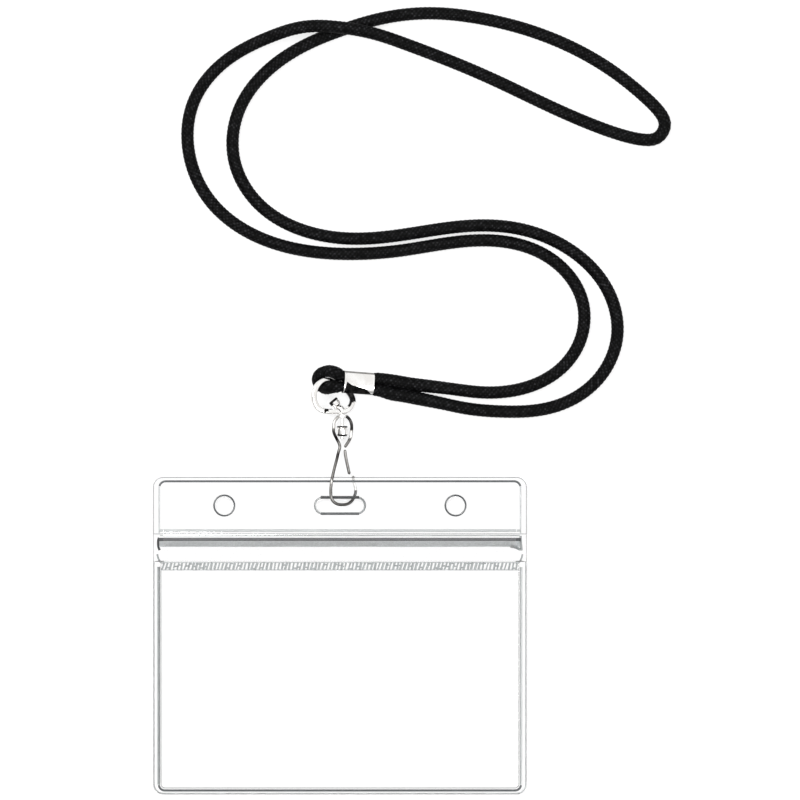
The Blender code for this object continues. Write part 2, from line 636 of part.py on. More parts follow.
def make_bight():
    """The short bight through the ring, squeezed thin where its two ends enter the ferrule."""
    mouth = -FERRULE_LENGTH / 2
    sides = (-CRIMPED_SPACING / 2, CRIMPED_SPACING / 2)
    runs = (0, mouth * GRIP_SHARE, mouth - SEAT_GAP)
    lower, upper = [[FERRULE_PLACE @ Vector((run, side, 0)) for run in runs] for side in sides]
    points = even_points([*lower, *map(Vector, BIGHT_ROUTE), *upper[::-1]], BIGHT_STEP)
    crimped = CRIMPED_DIAMETER / BIGHT_DIAMETER
    back = FERRULE_TURN.inverted()
    shares = []
    for point in points:
        inward = (back @ (Vector(point) - Vector(FERRULE_CENTRE))).x + FERRULE_LENGTH / 2
        swell = min(max(-inward / BIGHT_DIAMETER, 0), 1)
        shares.append(crimped + (1 - crimped) * swell)
    curve = cord_curve("ring_loop_cord", points, BIGHT_DIAMETER, shares)
    add_object("ring_loop_cord", curve, braid("bight_braid"))


def cord_rest_height():
    return CORD_DIAMETER / 2 + TABLE_CLEARANCE


def lanyard_points():
    """The long loop's route: out of the ferrule, down to the table, and once over itself."""
    mouth = FERRULE_LENGTH / 2 + 2 * SEAT_GAP
    sides = (-STRAND_SPACING / 2, STRAND_SPACING / 2)
    lower, upper = [[FERRULE_PLACE @ Vector((mouth + run, side, 0)) for run in (0, LEAD_OUT)]
                    for side in sides]
    flat_route = [*lower, *map(Vector, LANYARD_ROUTE), *upper[::-1]]
    knots, spline = natural_spline([(point[0], point[1]) for point in flat_route])
    length = knots[-1]
    rest = cord_rest_height()
    drop = lower[0].z - rest
    landing = 2 * drop / abs(sin(FERRULE_PITCH))
    stops = [0, landing / 2, landing]
    while stops[-1] < length - landing - CORD_STEP:
        stops.append(stops[-1] + bend_step(spline, stops[-1], length))
    stops += [length - landing, length - landing / 2, length]
    over = max(stops, key=lambda stop: crossing_nearness(spline, stop, length))
    points = []
    for stop in stops:
        x, y = spline(stop)
        away = min(stop, length - stop)
        height = rest + drop * max(0, 1 - away / landing) ** 2
        height += CROSSING_LIFT * hump((stop - over) / CROSSING_REACH)
        points.append((x, y, height))
    return points


def bend_step(spline, stop, length):
    """How far to the next point: shorter round a tight bend."""
    before, here, after = [Vector(spline(min(stop + run * TIGHT_STEP, length))) for run in (0, 1, 2)]
    turn = (here - before).angle(after - here)
    radius = TIGHT_STEP / max(turn, TIGHT_STEP / SLEEVE_WIDTH)
    return min(CORD_STEP, max(TIGHT_STEP, STEP_PER_RADIUS_SHARE * radius))


def crossing_nearness(spline, stop, length):
    """Highest where the second pass meets the crossing."""
    if stop < length / 2:
        return -length
    return -(Vector(spline(stop)) - Vector(CROSSING)).length


def hump(run):
    """A smooth rise from 0 at -1 to 1 at 0 and back to 0 at 1."""
    return (1 + cos(pi * min(1, abs(run)))) / 2


def make_lanyard():
    curve = cord_curve("lanyard_cord", lanyard_points(), CORD_DIAMETER)
    add_object("lanyard_cord", curve, braid("lanyard_braid"))


def main():
    clear_scene()
    make_ferrule()
    make_bight()
    make_lanyard()
    ring_pivot = pivot("ring_pivot", (SWIVEL_X, FERRULE_CENTRE[1], AXIS_HEIGHT))
    make_ring(ring_pivot)
    make_rivet(ring_pivot)
    hook_pivot = pivot("hook_pivot", (SWIVEL_X, HOOK_TOP_Y, AXIS_HEIGHT), ring_pivot)
    neck = HOOK_PLACE @ Vector(hook_points(LATCH_SHARES)[0])
    latch_pivot = pivot("latch_pivot", neck, hook_pivot)
    make_hook(hook_pivot, latch_pivot)
    sleeve_pivot = pivot("sleeve_pivot", SLEEVE_PLACE @ Vector((0, SLOT_Y, 0)), hook_pivot)
    make_sheets(SLEEVE_PLACE, sleeve_pivot)
    zip_rear_strip(SLEEVE_PLACE, sleeve_pivot)
    zip_weld_flange(SLEEVE_PLACE, sleeve_pivot)
    zip_pivot = pivot("zip_pivot", SLEEVE_PLACE @ Vector((0, MOUTH_Y, WINDOW_FLOOR)), sleeve_pivot)
    zip_front_strip(SLEEVE_PLACE, zip_pivot)


main()
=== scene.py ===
"""Looks for the clear badge sleeve on a round cord lanyard, as it lies on a white table.

Metres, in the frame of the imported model: +Z up, the table at Z = 0.
"""

from math import asin, cos, pi, radians, sin

import bmesh
import bpy
import numpy as np
from mathutils import Matrix, Vector


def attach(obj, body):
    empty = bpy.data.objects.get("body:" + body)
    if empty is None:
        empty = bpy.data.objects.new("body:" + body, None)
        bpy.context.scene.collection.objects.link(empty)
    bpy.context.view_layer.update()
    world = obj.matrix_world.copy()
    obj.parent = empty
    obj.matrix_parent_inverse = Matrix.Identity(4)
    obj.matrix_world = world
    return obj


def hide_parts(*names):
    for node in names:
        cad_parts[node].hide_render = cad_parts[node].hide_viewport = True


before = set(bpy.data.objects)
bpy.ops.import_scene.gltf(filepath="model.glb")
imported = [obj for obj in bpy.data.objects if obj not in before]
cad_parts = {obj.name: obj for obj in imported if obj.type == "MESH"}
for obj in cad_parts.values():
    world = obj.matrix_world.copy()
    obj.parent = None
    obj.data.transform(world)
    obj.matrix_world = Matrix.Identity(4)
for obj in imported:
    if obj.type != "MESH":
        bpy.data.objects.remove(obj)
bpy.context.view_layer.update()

MM = 0.001

# Sleeve, in its own plane from the middle of its lower edge
SLEEVE_WIDTH = 110 * MM
SLEEVE_HEIGHT = 93.5 * MM
CORNER_RADIUS = 3 * MM
SHEET = 0.35 * MM
GAP = 0.3 * MM
POCKET_DEPTH = 0.9 * MM
POCKET_STEP = 0.6 * MM
SIDE_WELD = 1.8 * MM
BOTTOM_WELD = 1.4 * MM
HEADER_Y = SLEEVE_HEIGHT - 16.8 * MM
SLOT_Y = SLEEVE_HEIGHT - 8.34 * MM
SLOT_LENGTH = 14.8 * MM
SLOT_HEIGHT = 4.8 * MM
HOLE_DIAMETER = 6 * MM
HOLE_X = 34.05 * MM
MOUTH_Y = SLEEVE_HEIGHT - 24.9 * MM
ZIP_LENGTH = 106.6 * MM
ZIP_TOP_Y = HEADER_Y - GAP
ZIP_BASE = 0.3 * MM
ZIP_BASE_HEIGHT = 6.9 * MM
WALL = 0.4 * MM
WALL_RISE = 0.55 * MM
WALL_SPACING = 1.9 * MM
UPPER_WALL_Y = ZIP_TOP_Y - 0.95 * MM
LIP_OVERLAP = 1.3 * MM
FLANGE_HEIGHT = 2.3 * MM
KNURL_PITCH = 1.1 * MM
LAYER_FLOOR = SHEET + GAP
WINDOW_FLOOR = SHEET + POCKET_DEPTH
WALL_TOP = LAYER_FLOOR + ZIP_BASE + WALL_RISE
RIM_ROUNDING = 0.16 * MM
PVC_INDEX = 1.53
FLECK_SCALE = 900.0
# A little over 1, so that the ground shows as plain white
WHITE = 1.02

# Spring hook: shares of its reach and length, in its own plane
WIRE = 0.9 * MM
HOOK_LENGTH = 26.67 * MM
HOOK_REACH = 4.36 * MM
HOOK_TILT = radians(26)
HOOK_SAG = 2.19 * MM
ARM_SHARES = [
    (-0.225, 0.980), (-0.422, 0.953), (-0.594, 0.912), (-0.640, 0.856), (-0.640, 0.807),
    (-0.550, 0.768), (-0.400, 0.724), (-0.248, 0.680), (-0.181, 0.635), (-0.264, 0.590),
    (-0.369, 0.526), (-0.505, 0.447), (-0.654, 0.359), (-0.775, 0.275), (-0.842, 0.192),
    (-0.851, 0.121), (-0.775, 0.063), (-0.550, 0.022), (-0.227, 0.002), (0.076, 0.000),
    (0.413, 0.009), (0.683, 0.036), (0.865, 0.076), (0.993, 0.132), (0.984, 0.189),
    (0.870, 0.249), (0.830, 0.320),
]
EYE_SHARES = [
    (0.245, 0.980), (0.300, 0.976), (0.511, 0.950), (0.661, 0.909), (0.711, 0.852), (0.683, 0.796),
    (0.631, 0.747), (0.489, 0.702), (0.345, 0.668), (0.240, 0.644), (0.203, 0.630),
]
LATCH_SHARES = [
    (0.202, 0.609), (0.225, 0.569), (0.294, 0.504), (0.406, 0.425), (0.505, 0.359), (0.536, 0.334),
]

# Swivel and ring
RING_WIDTH = 12.5 * MM
RING_HEIGHT = 9.15 * MM
RING_BAND = 1.1 * MM
RING_SEEN = 1.6 * MM
RING_DEPTH = 1.6 * MM
RING_TILT = radians(24.1)
RING_SHARES = [
    (-0.013, 0), (-0.222, 0), (-0.444, 0), (-0.622, 0.103), (-0.718, 0.323), (-0.731, 0.544),
    (-0.677, 0.748), (-0.575, 0.921), (-0.444, 1), (-0.300, 0.984), (-0.118, 0.906),
    (0.065, 0.764), (0.196, 0.575), (0.269, 0.355), (0.217, 0.150), (0.118, 0.027),
]
COLLAR_HEIGHT = 1.1 * MM
BARREL_DROP = 2.4 * MM
BARREL_LENGTH = 3 * MM
SWIVEL_BORE = 0.8 * MM
WIRE_STEP = 0.35 * MM

# Ferrule
FERRULE_LENGTH = 9.4 * MM
FERRULE_UPPER = 3.2 * MM
FERRULE_LOWER = 3.45 * MM
FERRULE_HEIGHT = 4.2 * MM
FERRULE_WALL = 0.35 * MM
FERRULE_CENTRE = (0.00508, 0.05836, 0.00419)
FERRULE_PITCH = radians(21.5)
FERRULE_TURN = Matrix.Rotation(radians(-4.3), 4, "Z") @ Matrix.Rotation(FERRULE_PITCH, 4, "Y")
FERRULE_PLACE = Matrix.Translation(FERRULE_CENTRE) @ FERRULE_TURN

# Cord; its routes are in millimetres
CORD = 3.5 * MM
BIGHT = 3.3 * MM
CRIMPED = 2.6 * MM
BIGHT_SIDES = (-1.65 * MM, 1.5 * MM)
LANYARD_SIDES = (-1.8 * MM, 1.5 * MM)
CROSSING = (1.7 * MM, 163 * MM)
CROSSING_LIFT = 3.8 * MM
CROSSING_REACH = 35 * MM
GRIP = 4 * MM
CORD_STEP = 0.33 * MM
BIGHT_ROUTE = [
    (-1.2, 57.15, 5.85), (-2.75, 56.85, 5.2), (-4.5, 56.65, 2.85),
    (-6.13, 57.84, 1.85), (-6.58, 59.48, 2.13), (-5.67, 60.99, 2.53),
    (-3.83, 61.65, 3.28), (-2.2, 61.5, 5.3), (-0.9, 61, 6),
]
LANYARD_ROUTE = [
    (14.8, 55.1), (17.8, 54.6), (23.6, 53.5), (29.5, 52.3), (37.3, 50.7),
    (47.3, 49.8), (62.3, 51), (75.4, 58.6), (81.7, 72.3), (78.1, 86.9),
    (67.5, 97.6), (53.7, 103.4), (38.8, 104.5), (18.9, 101.9), (3.9, 100.7),
    (-11, 103.2), (-23.9, 110.9), (-31.2, 124.2), (-29.5, 139.1), (-20.3, 151.1),
    (-7.5, 159), (1.9, 162.6), (11.5, 165.4), (26.5, 167.1), (41.4, 165.6),
    (55.9, 162), (69.8, 156.3), (82.6, 148.4), (90.2, 142.1), (93.9, 138.3),
    (95.7, 134.4), (93.6, 130.5), (88.9, 129.9), (84.1, 130.9), (74.5, 134.2),
    (60.7, 140.2), (47.3, 146.6), (33.5, 152.6), (19.5, 157.9), (10, 161),
    (0, 162.8), (-10.4, 163), (-20.6, 160.1), (-34.1, 152.7), (-43.2, 140.7),
    (-44.4, 125.6), (-38.2, 111.8), (-26.4, 102.3), (-12.1, 97.5), (2.9, 96.2),
    (17.9, 97.2), (32.7, 99.5), (47.7, 99.9), (62.1, 94.8), (71.3, 82.7),
    (71.3, 72.3), (66, 63.3), (57.3, 57.7), (47.5, 55.5), (42.4, 55.4),
    (33.9, 56.3), (26.5, 57.2), (20.6, 57.9), (17.7, 58.4), (14.8, 58.9),
]

# Places, worked out as the solids are
SWIVEL_X = FERRULE_CENTRE[0] - 4.4 * MM
AXIS_HEIGHT = WIRE / 2 + HOOK_REACH * sin(HOOK_TILT)
RING_FOOT_Y = FERRULE_CENTRE[1] - 8.51 * MM
BOSS_Y = RING_FOOT_Y - RING_BAND / 2
HOOK_TOP_Y = BOSS_Y - GAP
COLLAR_Y = HOOK_TOP_Y - COLLAR_HEIGHT
BARREL_TOP_Y = COLLAR_Y - BARREL_DROP
HOOK_FOOT_Y = HOOK_TOP_Y - HOOK_LENGTH
LATCH_END_HEIGHT = AXIS_HEIGHT - LATCH_SHARES[-1][0] * HOOK_REACH * sin(HOOK_TILT)
SLEEVE_TILT = asin((LATCH_END_HEIGHT + WIRE / 2 + GAP) / SLEEVE_HEIGHT)
SLEEVE_Y = HOOK_FOOT_Y + HOOK_SAG - (SLOT_Y + SLOT_HEIGHT / 2) * cos(SLEEVE_TILT)
SWIVEL_PLACE = Matrix.Translation((SWIVEL_X, 0, AXIS_HEIGHT))
HOOK_PLACE = SWIVEL_PLACE @ Matrix.Rotation(HOOK_TILT, 4, "Y")
RING_PLACE = SWIVEL_PLACE @ Matrix.Rotation(RING_TILT, 4, "Y")
SLEEVE_PLACE = Matrix.Translation((0, SLEEVE_Y, 0)) @ Matrix.Rotation(SLEEVE_TILT, 4, "X")
# The rivet's head and the ring's boss lean over together
LEAN_FOOT = Matrix.Translation((0, BOSS_Y + 0.5 * MM, 0))
BOSS_LEAN = LEAN_FOOT @ Matrix.Rotation(radians(40), 4, "Z") @ LEAN_FOOT.inverted()


def show(item):
    """Link an object to the scene."""
    bpy.context.scene.collection.objects.link(item)
    return item


def object_from(name, bm):
    """Turn a bmesh into an object of the scene."""
    mesh = bpy.data.meshes.new(name)
    bm.to_mesh(mesh)
    bm.free()
    return show(bpy.data.objects.new(name, mesh))


def outwards(bm):
    """Turn a bmesh's normals outwards."""
    bmesh.ops.recalc_face_normals(bm, faces=bm.faces)


def round_angles(around):
    """Angles evenly round a circle."""
    return np.linspace(0, 2 * pi, around, endpoint=False)


def squared(values, power):
    """Sines or cosines pushed outwards, which squares the circle that they draw."""
    return np.sign(values) * np.abs(values) ** power


def make_camera():
    """Straight down on the table, as the photograph is taken, through a long lens."""
    height, width_seen, sensor = 3.0, 0.2358, 36
    data = bpy.data.cameras.new("camera")
    data.sensor_width = sensor
    data.lens = sensor * height / width_seen
    data.clip_start, data.clip_end = 0.1, 20
    camera = show(bpy.data.objects.new("camera", data))
    camera.location = (0.0177, 0.05317, height)
    bpy.context.scene.camera = camera


def natural_spline(points):
    """Return the distances at which a natural cubic spline meets its points, and the spline."""
    points = np.array(points, dtype=float)
    chords = np.linalg.norm(np.diff(points, axis=0), axis=1)
    knots = np.concatenate([[0], np.cumsum(chords)])
    system = np.eye(len(points))
    pulls = np.zeros_like(points)
    for index in range(1, len(points) - 1):
        before, after = chords[index - 1], chords[index]
        system[index, index - 1:index + 2] = before, 2 * (before + after), after
        rise = (points[index + 1] - points[index]) / after
        pulls[index] = 6 * (rise - (points[index] - points[index - 1]) / before)
    bends = np.linalg.solve(system, pulls)

    def spline(distances):
        distances = np.asarray(distances, dtype=float)
        piece = np.clip(np.searchsorted(knots, distances, side="right") - 1, 0, len(chords) - 1)
        chord = chords[piece][:, None]
        near = (knots[piece + 1][:, None] - distances[:, None]) / chord
        far = 1 - near
        bend = (near ** 3 - near) * bends[piece] + (far ** 3 - far) * bends[piece + 1]
        return near * points[piece] + far * points[piece + 1] + bend * chord ** 2 / 6

    return knots, spline


def even_points(points, step):
    """Points about one step apart on a smooth curve through points."""
    knots, spline = natural_spline(points)
    return spline(np.linspace(0, knots[-1], max(3, round(knots[-1] / step) + 1)))


def even_loop(points, step):
    """Points about one step apart on a smooth closed curve through points."""
    wrap = 3
    knots, spline = natural_spline(points[-wrap:] + points + points[:wrap + 1])
    start, end = knots[wrap], knots[wrap + len(points)]
    return spline(np.linspace(start, end, round((end - start) / step) + 1)[:-1])


def moving_frames(path, up=None, closed=False):
    """Side and up directions square to a path, turned as little as it allows, or kept near up."""
    if closed:
        ahead = np.roll(path, -1, axis=0) - np.roll(path, 1, axis=0)
    else:
        ahead = np.gradient(path, axis=0)
    ahead /= np.linalg.norm(ahead, axis=1)[:, None]
    if up is not None:
        side = np.cross(ahead, up)
        side /= np.linalg.norm(side, axis=1)[:, None]
        return side, np.cross(side, ahead)
    normal = np.cross(ahead[0], (0, 0, 1))
    normal /= np.linalg.norm(normal)
    sides = []
    for direction in ahead:
        normal = normal - direction * np.dot(normal, direction)
        normal /= np.linalg.norm(normal)
        sides.append(normal)
    side = np.array(sides)
    return side, np.cross(side, ahead)


def linear(hexadecimal):
    """The linear colour of an sRGB hex value."""
    parts = [int(hexadecimal[start:start + 2], 16) / 255 for start in (1, 3, 5)]
    return (*(p / 12.92 if p <= 0.04045 else ((p + 0.055) / 1.055) ** 2.4 for p in parts), 1)


def add_node(tree, kind, inputs=None, **settings):
    """Add a shader node; each input is given a value or another node's output."""
    made = tree.nodes.new("ShaderNode" + kind)
    for name, value in settings.items():
        setattr(made, name, value)
    for name, value in (inputs or {}).items():
        if isinstance(value, bpy.types.NodeSocket):
            tree.links.new(value, made.inputs[name])
        else:
            made.inputs[name].default_value = value
    return made


def new_material(name, **inputs):
    """A material with one Principled shader; returns it, its tree and the shader."""
    made = bpy.data.materials.new(name)
    made.use_nodes = True
    shader = made.node_tree.nodes["Principled BSDF"]
    for key, value in inputs.items():
        shader.inputs[key.replace("_", " ")].default_value = value
    return made, made.node_tree, shader


def ramp(tree, factor, stops):
    """A colour ramp from (position, hex colour) stops."""
    made = add_node(tree, "ValToRGB", {"Fac": factor})
    elements = made.color_ramp.elements
    for index, (position, colour) in enumerate(stops):
        element = elements[index] if index < 2 else elements.new(position)
        element.position = position
        element.color = linear(colour)
    return made.outputs["Color"]


def bumped(tree, shader, height, distance, strength=1.0):
    bump = add_node(tree, "Bump", {"Height": height, "Distance": distance, "Strength": strength})
    tree.links.new(bump.outputs["Normal"], shader.inputs["Normal"])


def place_on(tree, scale, source="Object"):
    """Object coordinates, or a UV map's, with a scale in repeats per metre."""
    at = add_node(tree, "TexCoord").outputs[source]
    return add_node(tree, "Mapping", {"Vector": at, "Scale": scale}).outputs["Vector"]


def noise(tree, scale, stretch=(1, 1, 1)):
    """Noise in object space, with a scale in repeats per metre."""
    return add_node(tree, "TexNoise", {"Vector": place_on(tree, stretch), "Scale": scale,
                                       "Detail": 2.0}).outputs["Fac"]


def calendered_vinyl():
    """Clear calendered PVC: seen only by its gloss and the faint ripple of the rollers."""
    made, tree, shader = new_material("calendered_clear_pvc", Roughness=0.02, IOR=PVC_INDEX)
    shader.inputs["Base Color"].default_value = linear("#ffffff")
    shader.inputs["Transmission Weight"].default_value = 1
    bumped(tree, shader, noise(tree, 1.0, (60, 110, 60)), 0.02 * MM, 0.5)
    return made


def vinyl_with_painted_shade(name, pale, dark, clear, roughness, grain):
    """Clear PVC roughened by a press or a blade, tinted grey: the grey is painted shade for the
    shading and refraction along such a mark.
    """
    made, tree, shader = new_material(name, Roughness=roughness, IOR=PVC_INDEX)
    shader.inputs["Transmission Weight"].default_value = clear
    colour = ramp(tree, noise(tree, 1 / grain), [(0.35, dark), (0.7, pale)])
    tree.links.new(colour, shader.inputs["Base Color"])
    return made


def plated_nickel(name, pale, dark, roughness, wear_and_painted_shade, spread):
    """Nickel plate on a stamped part: mirrors the room, duller in patches as large as spread."""
    made, tree, shader = new_material(name, Metallic=1.0)
    marks = noise(tree, 1 / spread)
    colour = ramp(tree, marks, [(0.4, dark), (0.62, pale)])
    tree.links.new(colour, shader.inputs["Base Color"])
    span = add_node(tree, "MapRange", {"Value": marks, "From Min": 0.3, "From Max": 0.7,
                                       "To Min": roughness, "To Max": roughness + wear_and_painted_shade})
    tree.links.new(span.outputs["Result"], shader.inputs["Roughness"])
    return made


def wire_with_painted_shade(name):
    """Nickel plated spring wire with painted shade and painted highlights: pale to near black
    along it as its crest layer gives, with random tone.
    """
    made, tree, shader = new_material(name, Metallic=1.0, Roughness=0.42)
    wear_and_painted_shade = add_node(tree, "Attribute", attribute_name="crest").outputs["Fac"]
    uneven = add_node(tree, "Math", {0: noise(tree, FLECK_SCALE), 1: 0.24, 2: wear_and_painted_shade},
                      operation="MULTIPLY_ADD")
    level = add_node(tree, "Math", {0: uneven.outputs["Value"], 1: 0.12}, operation="SUBTRACT")
    colour = ramp(tree, level.outputs["Value"], [(0.0, "#f6f5f3"), (0.35, "#aeaca9"),
                                                 (0.7, "#5e5c5a"), (1.0, "#141313")])
    tree.links.new(colour, shader.inputs["Base Color"])
    return made


def braided_polyester(name, turns, length):
    """Black plaited polyester yarn with painted shade and painted sheen: black in the seams, a
    grey gleam on the crests.
    """
    made, tree, shader = new_material(name, Roughness=0.6)
    shader.inputs["Specular IOR Level"].default_value = 0.06
    # Painted sheen: the crests' relief, broken by noise, lightens the colour from black
    crest = add_node(tree, "Attribute", attribute_name="crest").outputs["Fac"]
    painted_gleam = add_node(tree, "Math", {0: crest, 1: noise(tree, FLECK_SCALE)},
                    operation="MULTIPLY").outputs["Value"]
    colour = ramp(tree, painted_gleam, [(0.24, "#000000"), (0.42, "#111112"), (0.6, "#2c2c2e")])
    tree.links.new(colour, shader.inputs["Base Color"])
    filament = 0.35 * MM
    along = place_on(tree, (length / filament, turns, 1), "UV")
    yarn = add_node(tree, "TexWave", {"Vector": along, "Scale": 1.0, "Distortion": 1.5,
                                      "Detail": 1.0},
                    wave_type="BANDS", bands_direction="DIAGONAL").outputs["Fac"]
    bumped(tree, shader, yarn, 0.05 * MM, 0.6)
    return made


# The vinyl's finishes, by their place in a piece's list of materials. Past CLEAR, their grey to
# near black tints are painted shade, on real press and cut marks and on beads laid along cut
# edges.
CLEAR, PRESSED, CUT, FAINT, DARK_SHADE = 0, 1, 2, 3, 4


def finish_piece(name, bm, finishes, body, replaced=(), place=None, smooth=35):
    """Turn a bmesh into a piece that rides a body and stands for the solids it replaces."""
    if place:
        bmesh.ops.transform(bm, matrix=place, verts=bm.verts)
    for edge in bm.edges:
        pressed = all(face.material_index in (PRESSED, FAINT) for face in edge.link_faces)
        edge.smooth = edge.calc_face_angle(pi) < radians(80 if pressed else smooth)
    piece = object_from(name, bm)
    piece.data.shade_smooth()
    for finish in finishes:
        piece.data.materials.append(finish)
    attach(piece, body)
    if replaced:
        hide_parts(*replaced)
    return piece


def tube_grid(bm, path, place_ring, around, closed=False, crest=None):
    """A tube round a path: a grid bent round it, welded along its seam and closed at its ends."""
    rings = len(path)
    if not bm.loops.layers.uv.active:
        bm.loops.layers.uv.new("UVMap")
    height = bm.verts.layers.float.get("crest") or bm.verts.layers.float.new("crest")
    columns = rings if closed else rings - 1
    made = bmesh.ops.create_grid(bm, x_segments=columns, y_segments=around, size=0.5,
                                 calc_uvs=True)
    corners = np.empty((columns + 1, around + 1), dtype=object)
    for vert in made["verts"]:
        corners[round((vert.co.x + 0.5) * columns), round((vert.co.y + 0.5) * around)] = vert
    welds = {}
    for column in range(columns + 1):
        places = place_ring(column % rings)
        for row in range(around + 1):
            vert = corners[column, row]
            vert.co = places[row % around]
            if crest is not None:
                vert[height] = crest[column % rings][row % around]
        welds[corners[column, around]] = corners[column, 0]
    if closed:
        for row in range(around):
            welds[corners[columns, row]] = corners[0, row]
        welds[corners[columns, around]] = corners[0, 0]
    bmesh.ops.weld_verts(bm, targetmap=welds)
    if not closed:
        rims = [edge for edge in bm.edges if edge.is_boundary]
        bmesh.ops.holes_fill(bm, edges=rims, sides=0)


def round_tube(bm, path, radii, around=16, closed=False, wear_and_painted_shade=None):
    """A plain round tube; radii is one radius or one for each point, and so is the painted shade
    for its crest layer.
    """
    path = np.asarray(path)
    radii = np.broadcast_to(np.asarray(radii, dtype=float), (len(path),))
    side, up = moving_frames(path, closed=closed)
    angles = round_angles(around)

    def ring(index):
        return [path[index] + radii[index] * (cos(a) * side[index] + sin(a) * up[index])
                for a in angles]

    crest = None if wear_and_painted_shade is None else np.repeat(np.asarray(wear_and_painted_shade)[:, None], around, axis=1)
    tube_grid(bm, path, ring, around, closed, crest)


def round_ends(count, radius, step):
    """Radii along a wire whose two ends are rounded off."""
    radii = np.full(count, radius)
    for index in range(3):
        share = max(0.3, sin(min(pi / 2, (index + 0.25) * step / radius * pi / 2)))
        radii[index] = radii[-1 - index] = radius * share
    return radii


def braid_heights(distances, angles, carriers, pick):
    """Crest height, 0 to 1, of a plain braid: strands that pass over and under one another."""
    turns = carriers * angles[None, :] / (2 * pi)
    steps = distances[:, None] / pick
    first, second = turns + steps, turns - steps
    over = (np.floor(first) + np.floor(second)) % 2 == 0
    across = np.where(over, first % 1, second % 1) - 0.5
    along = np.where(over, second % 1, first % 1) - 0.5
    profile = np.sqrt(np.clip(1 - (2 * across) ** 2, 0, 1))
    return profile * (0.35 + 0.65 * np.cos(pi * along))


def braided_tube(name, path, diameters, finish, around, pick, relief, body, replaced):
    """A round cord of plaited yarn round a path."""
    path = np.asarray(path)
    diameters = np.broadcast_to(np.asarray(diameters, dtype=float), (len(path),))
    steps = np.linalg.norm(np.diff(path, axis=0), axis=1)
    distances = np.concatenate([[0], np.cumsum(steps)])
    angles = round_angles(around)
    crest = braid_heights(distances, angles, 8, pick)
    side, up = moving_frames(path)
    radii = diameters[:, None] / 2 - relief * (0.55 - crest)

    def ring(index):
        out = np.cos(angles)[:, None] * side[index] + np.sin(angles)[:, None] * up[index]
        return path[index] + radii[index][:, None] * out

    bm = bmesh.new()
    tube_grid(bm, path, ring, around, crest=crest)
    outwards(bm)
    return finish_piece(name, bm, [finish], body, replaced, smooth=80)


def hump(run):
    """A smooth rise from 0 at -1 to 1 at 0 and back to 0 at 1."""
    return (1 + np.cos(pi * np.minimum(1, np.abs(run)))) / 2


def lanyard_path(step):
    """The long loop's route: out of the ferrule, down to the table, and once over itself.

    It comes with the two places in the ferrule where the cord is gripped.
    """
    mouth = FERRULE_LENGTH / 2 + 2 * GAP
    lead_out = 1.2 * MM
    lower, upper = [[FERRULE_PLACE @ Vector((mouth + run, side, 0)) for run in (0, lead_out)]
                    for side in LANYARD_SIDES]
    inner_lower, inner_upper = [FERRULE_PLACE @ Vector((mouth - GRIP, side * 0.85, 0))
                                for side in LANYARD_SIDES]
    laid = [(x * MM, y * MM) for x, y in LANYARD_ROUTE]
    knots, spline = natural_spline([point[:2] for point in (*lower, *laid, *upper[::-1])])
    length = knots[-1]
    rest = CORD / 2 + 0.02 * MM
    drop = lower[0].z - rest
    landing = 2 * drop / abs(sin(FERRULE_PITCH))
    stops = np.linspace(0, length, round(length / step) + 1)
    flat = spline(stops)
    nearness = np.linalg.norm(flat - np.array(CROSSING), axis=1)
    nearness[stops < length / 2] = length
    over = stops[np.argmin(nearness)]
    away = np.minimum(stops, length - stops)
    height = rest + drop * np.maximum(0, 1 - away / landing) ** 2
    height += CROSSING_LIFT * hump((stops - over) / CROSSING_REACH)
    return np.column_stack([flat, height]), inner_lower, inner_upper


def make_lanyard():
    """The neck loop, swollen where it leaves the ferrule."""
    path, inner_lower, inner_upper = lanyard_path(CORD_STEP)
    count = round(GRIP / CORD_STEP)
    before = [inner_lower.lerp(Vector(path[0]), index / count) for index in range(count)]
    after = [Vector(path[-1]).lerp(inner_upper, (index + 1) / count) for index in range(count)]
    whole = np.array([*map(tuple, before), *map(tuple, path), *map(tuple, after)])
    run = np.minimum(np.arange(len(whole)), np.arange(len(whole))[::-1]) * CORD_STEP
    shares = np.interp(run, [3.1 * MM, 4.4 * MM, 10 * MM, 17 * MM, 26 * MM],
                       [0.76, 1.02, 1.12, 1.12, 1.04])
    finish = braided_polyester("braided_black_polyester", 8, len(whole) * CORD_STEP)
    cord = braided_tube("lanyard", whole, CORD * shares, finish, 32, 1.3 * MM, 0.16 * MM,
                        "lanyard", ["lanyard_cord"])


def make_bight():
    """The short bight through the ring, squeezed where the ferrule takes it."""
    mouth = -FERRULE_LENGTH / 2
    lower, upper = [[FERRULE_PLACE @ Vector((mouth + x, side, 0)) for x in (0.45 * MM, -0.1 * MM)]
                    for side in BIGHT_SIDES]
    route = [*map(tuple, lower), *(np.array(BIGHT_ROUTE) * MM), *map(tuple, upper[::-1])]
    path = even_points(route, 0.3 * MM)
    back = FERRULE_TURN.inverted()
    inward = np.array([(back @ (Vector(p) - Vector(FERRULE_CENTRE))).x for p in path])
    widths = np.interp(-(inward + FERRULE_LENGTH / 2), [0, 1 * MM, 2.4 * MM, 4 * MM, 6 * MM],
                       [CRIMPED, 3.7 * MM, 3.75 * MM, BIGHT, 3.4 * MM])
    finish = braided_polyester("braided_black_polyester_bight", 8, 0.04)
    braided_tube("bight", path, widths, finish, 40, 1.2 * MM, 0.15 * MM, "lanyard",
                 ["ring_loop_cord"])


